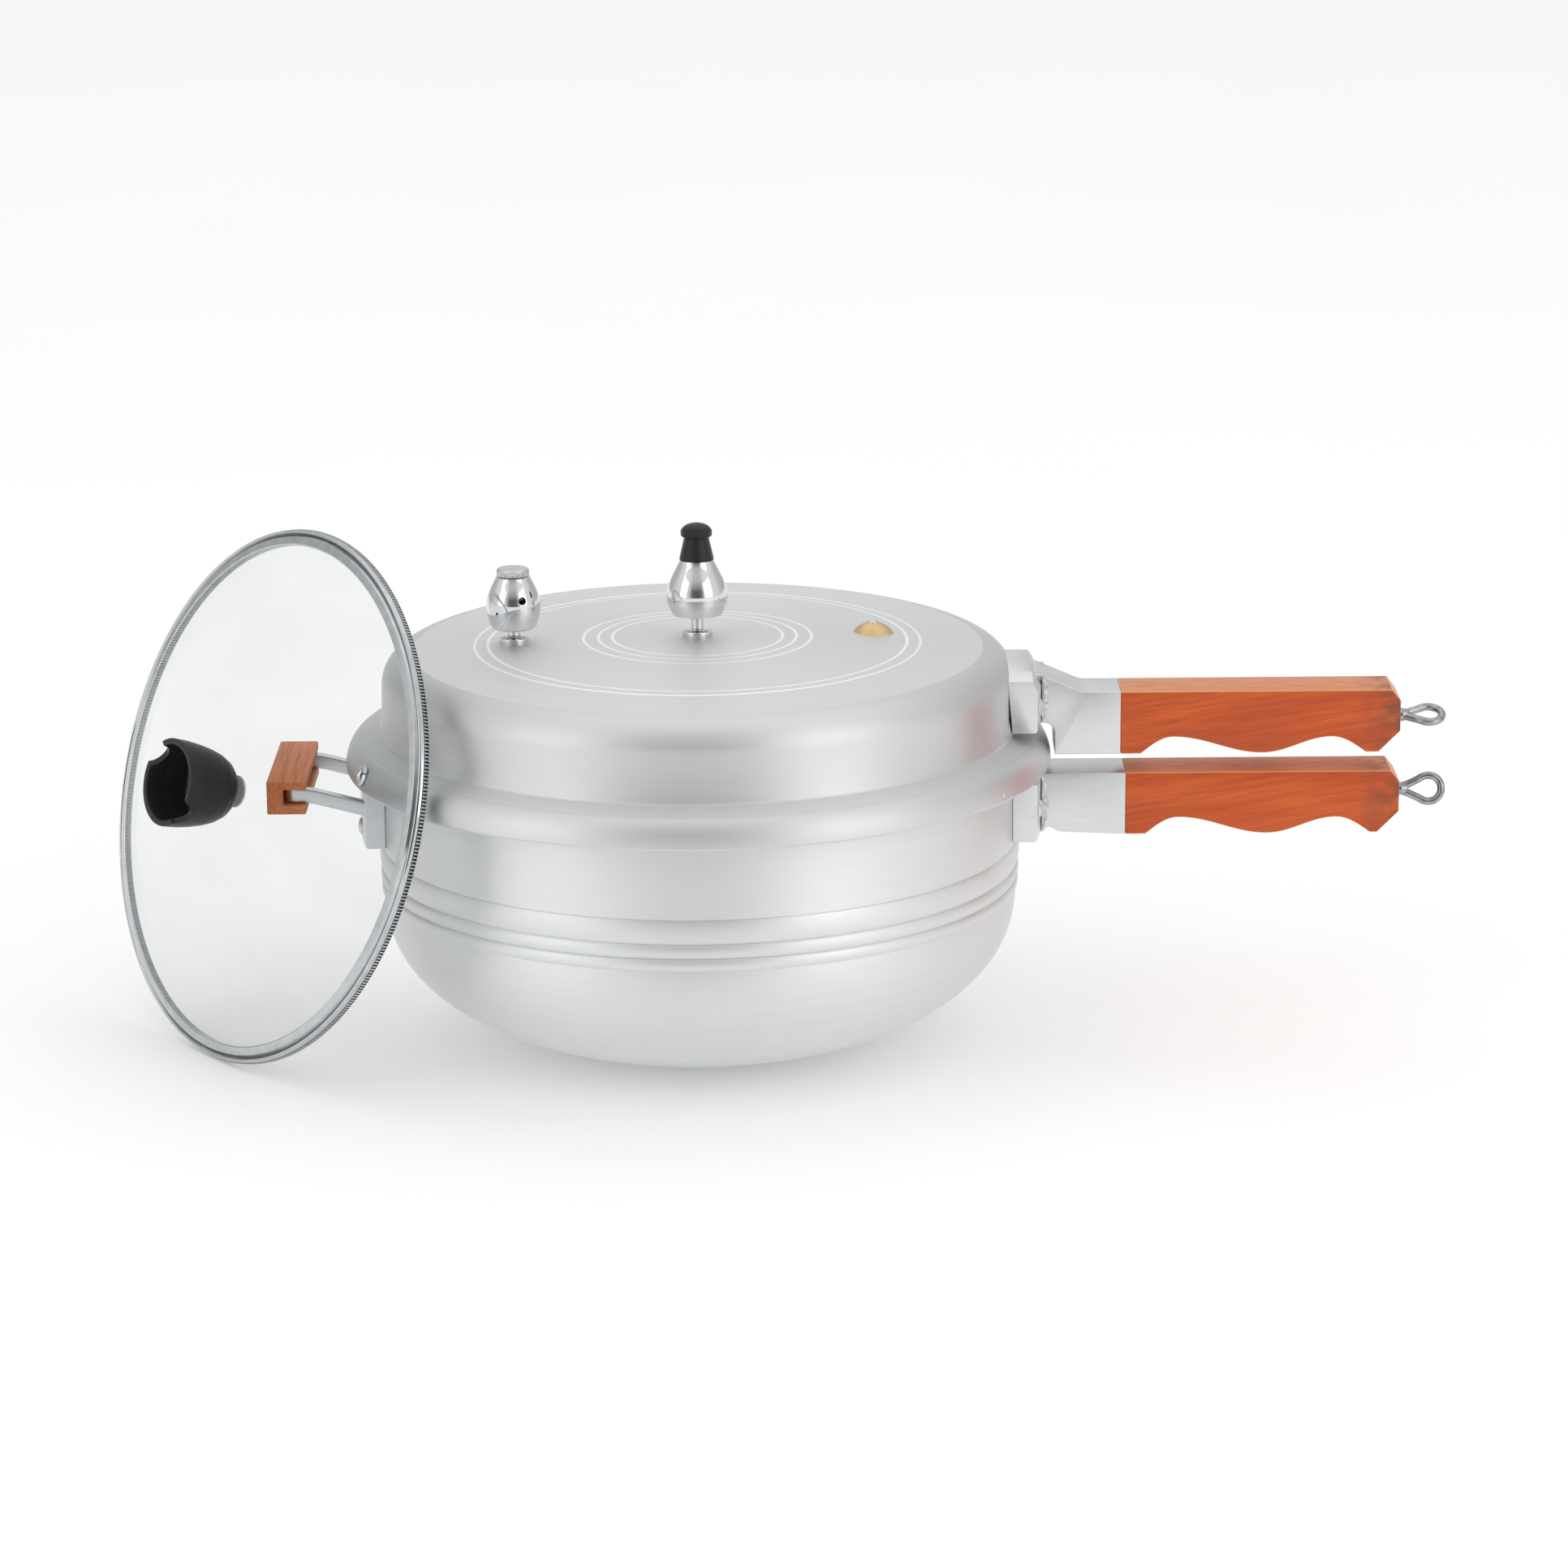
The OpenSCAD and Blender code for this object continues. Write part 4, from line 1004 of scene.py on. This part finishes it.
def skirt_dimple():
    """A small punched dimple in the skirt."""
    place = Matrix.Rotation(math.radians(-32.2), 4, "Z") @ Matrix.Translation((SKIRT_R + 0.9, 0, 136.2))
    return turned("dimple", arc(0, 0, 1.6, 1.6, -90, 90, 10), 24, matrix=place)


def eyelet_place():
    """The frame of the small steel eyelet on the lid's shoulder."""
    turn = Matrix.Rotation(math.radians(EYELET_TURN), 4, "Z")
    out = Matrix.Translation((POT_R + 14.2, 0, 140)) @ Matrix.Rotation(math.radians(68), 4, "Y")
    return turn @ out


def lid_shell():
    shell = turned("lid_cover", lid_profile(), 256, sharp=28)
    for material in LID_MATERIALS:
        shell.data.materials.append(material)
    tone_rings(shell)
    bore = turned("bore", [(0, -8), (3.2, -8), (3.2, 6), (0, 6)], 32, closed=False, matrix=eyelet_place())
    carve(shell, [bore, skirt_dimple()], sharp=28)
    lugs = [lug(60 * i) for i in range(6)]
    for part in lugs:
        part.data.materials.append(LID_SIDE)
    obj = joined("lid_cover", [shell] + lugs)
    for material in LID_MATERIALS:
        obj.data.materials.append(material)
    piece(obj, "lid", "spun_aluminium", LID_SIDE, "lid_shell")


def tone_rings(shell):
    """Marks which of the lid's materials each face takes: its side, its top or a machined line."""
    for face in shell.data.polygons:
        spot = face.center / MM
        radius = math.hypot(spot.x, spot.y)
        near = min(abs(radius - ring) for ring in RINGS)
        top = radius < DOME_R - FILLET and spot.z > lid_top(radius) - 1
        face.material_index = (1 if near < 0.74 else 2) if top else 0


def rim_eyelet():
    """The rolled steel eyelet, with its split on one side."""
    loop = soft([(2, -3, 0), (3.15, -3, 0), (3.15, 0.4, 0.2), (5, 0.4, 0.3), (5, 1, 0.4),
        (4, 1.9, 0.8), (3, 1.9, 0.6), (2, 1, 0.5)])
    ring = turned("eyelet", loop, 64, matrix=eyelet_place())
    slit = prism("slit", [(-0.35, -1), (0.35, -1), (0.35, 5), (-0.35, 5)], 2.2, 7,
        matrix=eyelet_place() @ Matrix.Rotation(math.radians(20), 4, "Z"))
    carve(ring, [slit])
    piece(ring, "lid", "zinc_steel", BRIGHT_ZINC, "rim_eyelet")


# ---------- Valves ----------

def at(x, y, z):
    return Matrix.Translation((x, y, z))


VENT_Z = lid_top(7)
RELIEF_X = -86
RELIEF_Z = lid_top(93)
PLUG_AT = (82.4, 12.5)
PLUG_Z = lid_top(math.hypot(*PLUG_AT) + 9.7)


def stem(name, place, radius, height, node):
    """A hollow stem on a round foot."""
    loop = soft([(1.5, -10, 0.2), (4, -10, 0.3), (4, 0, 0), (7, 0, 0.2), (7, 2.2, 0.8), (5.4, 3.2, 0.8),
        (radius, 3.4, 0.6), (radius, height - 0.4, 0.4), (1.5, height, 0.3)], steps=5)
    obj = turned(name, loop, 64, matrix=place)
    piece(obj, "lid", "chrome", CHROME, node)


def egg(low, wide_z, wide_r, low_r, top_z, top_r, power):
    """The outside of an egg-shaped weight, from its lower edge up."""
    lower = []
    for i in range(13):
        u = 1 - i / 12
        lower.append((wide_r - (wide_r - low_r) * u * u, wide_z - (wide_z - low - 0.8) * u))
    upper = []
    for i in range(1, 19):
        u = i / 18
        swell = math.cos(math.pi / 2 * u) ** power
        upper.append((top_r + (wide_r - top_r) * swell, wide_z + (top_z - wide_z) * u))
    return lower + upper


def regulator():
    """The dead weight and its black knob."""
    place = at(0, 0, VENT_Z)
    outside = egg(10.2, 19, 14.35, 12, 36.3, 8, 1.25)
    loop = [(4.2, 10.5), (4.4, 10.25), (11.3, 10.2), (11.8, 10.4)] + outside
    loop += [(7.6, 36.4), (2, 36.4), (2, 44), (0, 44), (0, 23.4), (3.8, 23), (4.2, 22.6)]
    weight = turned("weight", loop, 96, closed=False, sharp=40, matrix=place)
    piece(weight, "regulator", "chrome", CHROME, "regulator_weight")
    cap = soft([(0, 36.4, 0), (7.7, 36.4, 0.3), (8.1, 36.8, 0.3), (5.7, 47.2, 0.3), (6.7, 47.3, 0.3),
        (7.35, 47.9, 0.6), (7.35, 50.2, 0.8)], closed=False, steps=4)
    cap += arc(0, 49.6, 7.2, 4.1, 12, 90, 12)
    knob = turned("knob", cap, 64, closed=False, sharp=40, matrix=place)
    piece(knob, "regulator", "black_phenolic", BLACK, "regulator_knob")


def relief_valve():
    """The spring relief valve: its egg-shaped body with a side port, and its knurled cap."""
    place = at(RELIEF_X, 0, RELIEF_Z)
    outside = egg(6.8, 18, 12.75, 10.45, 31.5, 8, 1.1)
    loop = [(3, 7.1), (3.2, 6.85), (9.2, 6.8), (9.9, 7.0)] + outside
    loop += [(7.6, 31.7), (5, 31.7), (5, 10), (3, 10)]
    body = turned("relief_egg", loop, 96, sharp=40, matrix=place)
    turn = Matrix.Rotation(math.radians(-67), 4, "Z")
    side = place @ turn @ at(4.4, 0, 22) @ Matrix.Rotation(math.pi / 2, 4, "Y")
    port = turned("port", [(0, 0), (1.8, 0), (1.8, 12), (0, 12)], 32, closed=False, matrix=side)
    carve(body, [port], sharp=40)
    piece(body, "lid", "chrome", CHROME, "relief_body")

    def knurl(radius, z, angle):
        """Flutes round the cap's wall."""
        if radius < 6.8 or z > 34.4 or z < 31.8:
            return radius, z
        return radius - 0.6 * (0.5 + 0.5 * math.cos(36 * angle)) ** 1.5, z

    cap = soft([(0, 31.8, 0), (7.2, 31.8, 0.2), (7.6, 32.2, 0.2), (7.6, 34.7, 0.3), (6.9, 35.4, 0.4),
        (0, 35.6, 0)], closed=False, steps=4)
    top = turned("relief_top", cap, 432, closed=False, sharp=40, matrix=place, shape=knurl)
    piece(top, "lid", "chrome", CAP, "relief_cap")


def relief_spring():
    """The wire spring, coiled from the bottom to the top of its CAD box."""
    low, high = box("relief_spring")
    wire = 0.45
    coil = 3.2
    turns = 5
    per_turn = 24
    rise = high.z - low.z - 2 * wire
    path = []
    for i in range(turns * per_turn + 1):
        angle = 2 * math.pi * i / per_turn
        z = low.z + wire + rise * i / (turns * per_turn)
        path.append((RELIEF_X + coil * math.cos(angle), coil * math.sin(angle), z))
    spring = swept("spring", path, circle_ring(wire, 10))
    piece(spring, "lid", "spring_steel", SPRING, "relief_spring")
    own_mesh(spring)


def safety_plug():
    """The gold plug with its fusible tip."""
    place = at(PLUG_AT[0], PLUG_AT[1], PLUG_Z)
    ball = (9.7 ** 2 + 5.6 ** 2) / 11.2
    reaches = (2.6, 3.5, 4.5, 5.5, 6.5, 7.5, 8.3, 9, 9.5)
    dome = [(r, 5.6 - ball + math.sqrt(ball * ball - r * r)) for r in reaches]
    loop = [(2.55, -10), (6, -10), (6, 0), (9.6, 0), (9.75, 0.25)] + dome[::-1] + [(2.55, dome[0][1] - 0.3)]
    body = turned("plug", loop, 80, sharp=45, matrix=place)
    piece(body, "lid", "brass_gold", GOLD, "safety_plug_body")
    tip = turned("plug_tip", [(0, -10), (2.5, -10), (2.5, 5.1)] + arc(0, 5.1, 2.5, 1.4, 5, 90, 8), 40,
        closed=False, sharp=45, matrix=place)
    piece(tip, "lid", "fusible_metal", FUSIBLE, "safety_plug_core")


def valves():
    stem("vent", at(0, 0, VENT_Z), 2.85, 20, "vent_stem")
    stem("relief_foot", at(RELIEF_X, 0, RELIEF_Z), 2.95, 12, "relief_stem")
    regulator()
    relief_valve()
    relief_spring()
    safety_plug()


# ---------- Glass lid ----------

def leaning():
    """The glass lid's frame, with its dome along +Z, from the CAD rim's place."""
    tilt = Matrix.Rotation(math.radians(90 - LEAN_TILT), 4, "Y")
    turn = Matrix.Rotation(math.radians(LEAN_TURN), 4, "Z")
    face = turn @ tilt
    out = face @ Vector((0, 0, 1))
    return Matrix.Translation(middle("glass_rim") - out * 0.05) @ face


LEAN = leaning()
GLASS_RISE = 21
GLASS_EDGE = GLASS_R - 2.5
GLASS_BALL = (GLASS_EDGE ** 2 + GLASS_RISE ** 2) / (2 * GLASS_RISE)
GLASS_T = 4


def glass_section(radius, steps=40):
    """Points along the glass's dome, from its edge to the middle hole."""
    reach = math.degrees(math.asin(GLASS_EDGE / GLASS_BALL))
    hole = math.degrees(math.asin(4 / GLASS_BALL))
    return arc(0, GLASS_RISE - GLASS_BALL, radius, radius, 90 - reach, 90 - hole, steps)


def glass_pane():
    loop = glass_section(GLASS_BALL) + glass_section(GLASS_BALL - GLASS_T)[::-1]
    pane = turned("pane", loop, 192, sharp=40, matrix=LEAN)
    piece(pane, "glass_lid", "clear_glass", GLASS, "glass_pane")


def glass_rim():
    """The rolled channel: a toothed outer edge, a round bead, a groove and a flat band on the glass."""
    r = GLASS_R
    loop = soft([(r - 1.2, -4, 0.6), (r, -3.2, 0.5), (r, -1.2, 0.5), (r - 0.5, -0.7, 0.3),
        (r - 0.6, 0.5, 0.5), (r - 1.6, 1.6, 0.6), (r - 2.6, 0.2, 0.3), (r - 3.2, 0.2, 0.3),
        (r - 4, 1.9, 0.5), (r - 7.4, 2.6, 0.4),
        (r - 8.1, 2.2, 0.3), (r - 8.1, -2.5, 0.3), (r - 7.4, -3.2, 0.5), (r - 3.6, -4, 0.5)], steps=4)

    def crimp(radius, z, angle):
        """Fine teeth pressed into the outer edge and the inner lip."""
        tooth = (0.5 + 0.5 * math.cos(480 * angle)) ** 2
        if radius > r - 0.2 and z < -0.9:
            return radius - 0.85 * tooth, z
        if radius < r - 7.9:
            return radius + 0.35 * tooth, z
        return radius, z

    rim = turned("rim", loop, 1920, sharp=50, matrix=LEAN, shape=crimp)
    for material in (STAINLESS, GROOVE_SHADE):
        rim.data.materials.append(material)
    # Faces at the bottom of the groove and between the teeth take the painted shade material.
    back = LEAN.inverted()
    for face in rim.data.polygons:
        spot = back @ (face.center / MM)
        radius = math.hypot(spot.x, spot.y)
        groove_shade_mask = r - 3.5 < radius < r - 2.3 and spot.z > 0
        tooth_shade_mask = r - 0.75 < radius < r - 0.3 and -3.4 < spot.z < -0.9
        face.material_index = int(groove_shade_mask or tooth_shade_mask)
    piece(rim, "glass_lid", "stainless_rim", STAINLESS, "glass_rim")


def glass_knob():
    """The bell knob: open outwards, with a raised disc in its cup and two finger notches."""
    place = LEAN @ at(0, 0, GLASS_RISE)
    outer = [(8.6, 1.2, 0.6), (11.6, 2.4, 1.2), (14.2, 5, 2), (16.6, 9.5, 4), (18.3, 15, 5), (19.5, 21, 5),
        (20.3, 27, 4), (20.6, 34, 0.5)]
    cup = [(17.8, 34, 0.8), (17.1, 25, 4), (14.6, 14.2, 3), (12.6, 13, 0.5), (12.2, 15, 0.4),
        (11.2, 15.6, 0.4)]
    loop = [(0, 1.2)] + soft([(0, 1.2, 0)] + outer + cup + [(0, 15.6, 0)], closed=False, steps=5)[1:]
    knob = turned("bell", loop, 128, closed=False, sharp=40, matrix=place)
    turn = Matrix.Rotation(math.radians(90 + KNOB_NOTCH_TURN), 4, "Z") @ Matrix.Rotation(math.pi / 2, 4, "X")
    rod = [(0, -30), (7, -30), (7, 30), (0, 30)]
    scallop = turned("scallop", rod, 48, closed=False, matrix=place @ at(0, 0, 35) @ turn)
    carve(knob, [scallop], sharp=40)
    piece(knob, "glass_lid", "black_phenolic", BLACK, "glass_knob")


def glass_lid():
    glass_pane()
    glass_rim()
    glass_knob()


# ---------- Kept CAD nodes ----------

def plain_nodes():
    """Small hardware keeps its CAD shape, with fine edges and its own material."""
    for node in ("pot_handle_rivets", "helper_rivets", "lid_handle_rivets"):
        dress(node, CAST)
    for node in ("helper_block_screws", "vent_nut", "relief_nut", "knob_screw", "regulator_needle"):
        dress(node, ZINC)
    for node in ("lid_gasket", "vent_washer", "relief_washer", "safety_plug_washer"):
        dress(node, RUBBER)
    dress("knob_washers", SILICONE)
    for node in ("safety_plug_nut", "relief_plunger"):
        dress(node, GOLD)


# ---------- Studio ----------

def floor():
    mesh = bpy.data.meshes.new("floor")
    mesh.from_pydata([(-30, -30, 0), (30, -30, 0), (30, 30, 0), (-30, 30, 0)], [], [(0, 1, 2, 3)])
    obj = bpy.data.objects.new("floor", mesh)
    bpy.context.scene.collection.objects.link(obj)
    obj.location.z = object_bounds()[0].z
    mesh.materials.append(studio_floor())
    obj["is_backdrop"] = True


def softbox(name, place, target, size, power):
    """A rectangular area lamp that faces a point."""
    lamp = bpy.data.lights.new(name, "AREA")
    lamp.shape = "RECTANGLE"
    lamp.size, lamp.size_y = size
    lamp.energy = power
    obj = bpy.data.objects.new(name, lamp)
    bpy.context.scene.collection.objects.link(obj)
    obj.location = place
    obj.rotation_euler = (Vector(target) - Vector(place)).to_track_quat("-Z", "Y").to_euler()


def room_light(tree):
    """The room's brightness: dark behind the camera, bright at both sides, and even overhead."""
    def math_node(operation, a, b=None):
        node = tree.nodes.new("ShaderNodeMath")
        node.operation = operation
        for socket, value in zip(node.inputs, (a, b)):
            if isinstance(value, float):
                socket.default_value = value
            elif value:
                tree.links.new(value, socket)
        return node.outputs[0]

    def ramp(value, stops):
        node = tree.nodes.new("ShaderNodeValToRGB")
        band = node.color_ramp
        while len(band.elements) < len(stops):
            band.elements.new(0.5)
        for element, (position, level) in zip(band.elements, stops):
            element.position = position
            element.color = (level, level, level, 1)
        tree.links.new(value, node.inputs[0])
        return node.outputs[0]

    split = tree.nodes.new("ShaderNodeSeparateXYZ")
    tree.links.new(tree.nodes.new("ShaderNodeTexCoord").outputs["Generated"], split.inputs[0])
    x, y, z = split.outputs
    angle = math_node("ARCTAN2", x, math_node("MULTIPLY", y, -1.0))
    turn = math_node("DIVIDE", math_node("ABSOLUTE", angle), math.pi)
    walls = ramp(turn, ((0.0, 0.12), (0.10, 0.18), (0.16, 0.70), (0.24, 0.95), (0.48, 0.90), (0.62, 0.62),
        (0.78, 0.55), (1.0, 0.85)))
    height = ramp(z, ((0.35, 0.0), (0.85, 1.0)))
    mix = tree.nodes.new("ShaderNodeMix")
    mix.data_type = "RGBA"
    tree.links.new(height, mix.inputs[0])
    tree.links.new(walls, mix.inputs[6])
    mix.inputs[7].default_value = (0.95, 0.95, 0.95, 1)
    return mix.outputs[2]


def studio():
    """A pale room with two broad side boxes and one overhead."""
    world = bpy.data.worlds.new("studio")
    bpy.context.scene.world = world
    world.use_nodes = True
    back = world.node_tree.nodes["Background"]
    world.node_tree.links.new(room_light(world.node_tree), back.inputs["Color"])
    back.inputs["Strength"].default_value = 0.95
    softbox("left_box", (-2.0, -1.5, 1.0), (0, 0, 0.15), (1.3, 1.7), 5.5)
    softbox("right_box", (1.8, -1.7, 1.0), (0, 0, 0.15), (1.5, 1.7), 9)
    softbox("top_box", (0.2, 0.6, 2.8), (0, 0, 0.1), (3.2, 3.0), 8)
    view = bpy.context.scene.view_settings
    view.view_transform = "Standard"
    view.look = "None"


def camera():
    lens = bpy.data.cameras.new("camera")
    lens.lens = 126.38
    lens.sensor_width = 36
    obj = bpy.data.objects.new("camera", lens)
    bpy.context.scene.collection.objects.link(obj)
    tip = Matrix.Rotation(math.radians(75.13), 4, "X") @ Matrix.Rotation(math.radians(-0.46), 4, "Z")
    obj.matrix_world = Matrix.Translation((0.0400, -2.5128, 0.7864)) @ tip
    bpy.context.scene.camera = obj


pot_shell()
long_handles()
helper_bracket()
helper_block()
lid_shell()
rim_eyelet()
valves()
glass_lid()
plain_nodes()
floor()
studio()
camera()
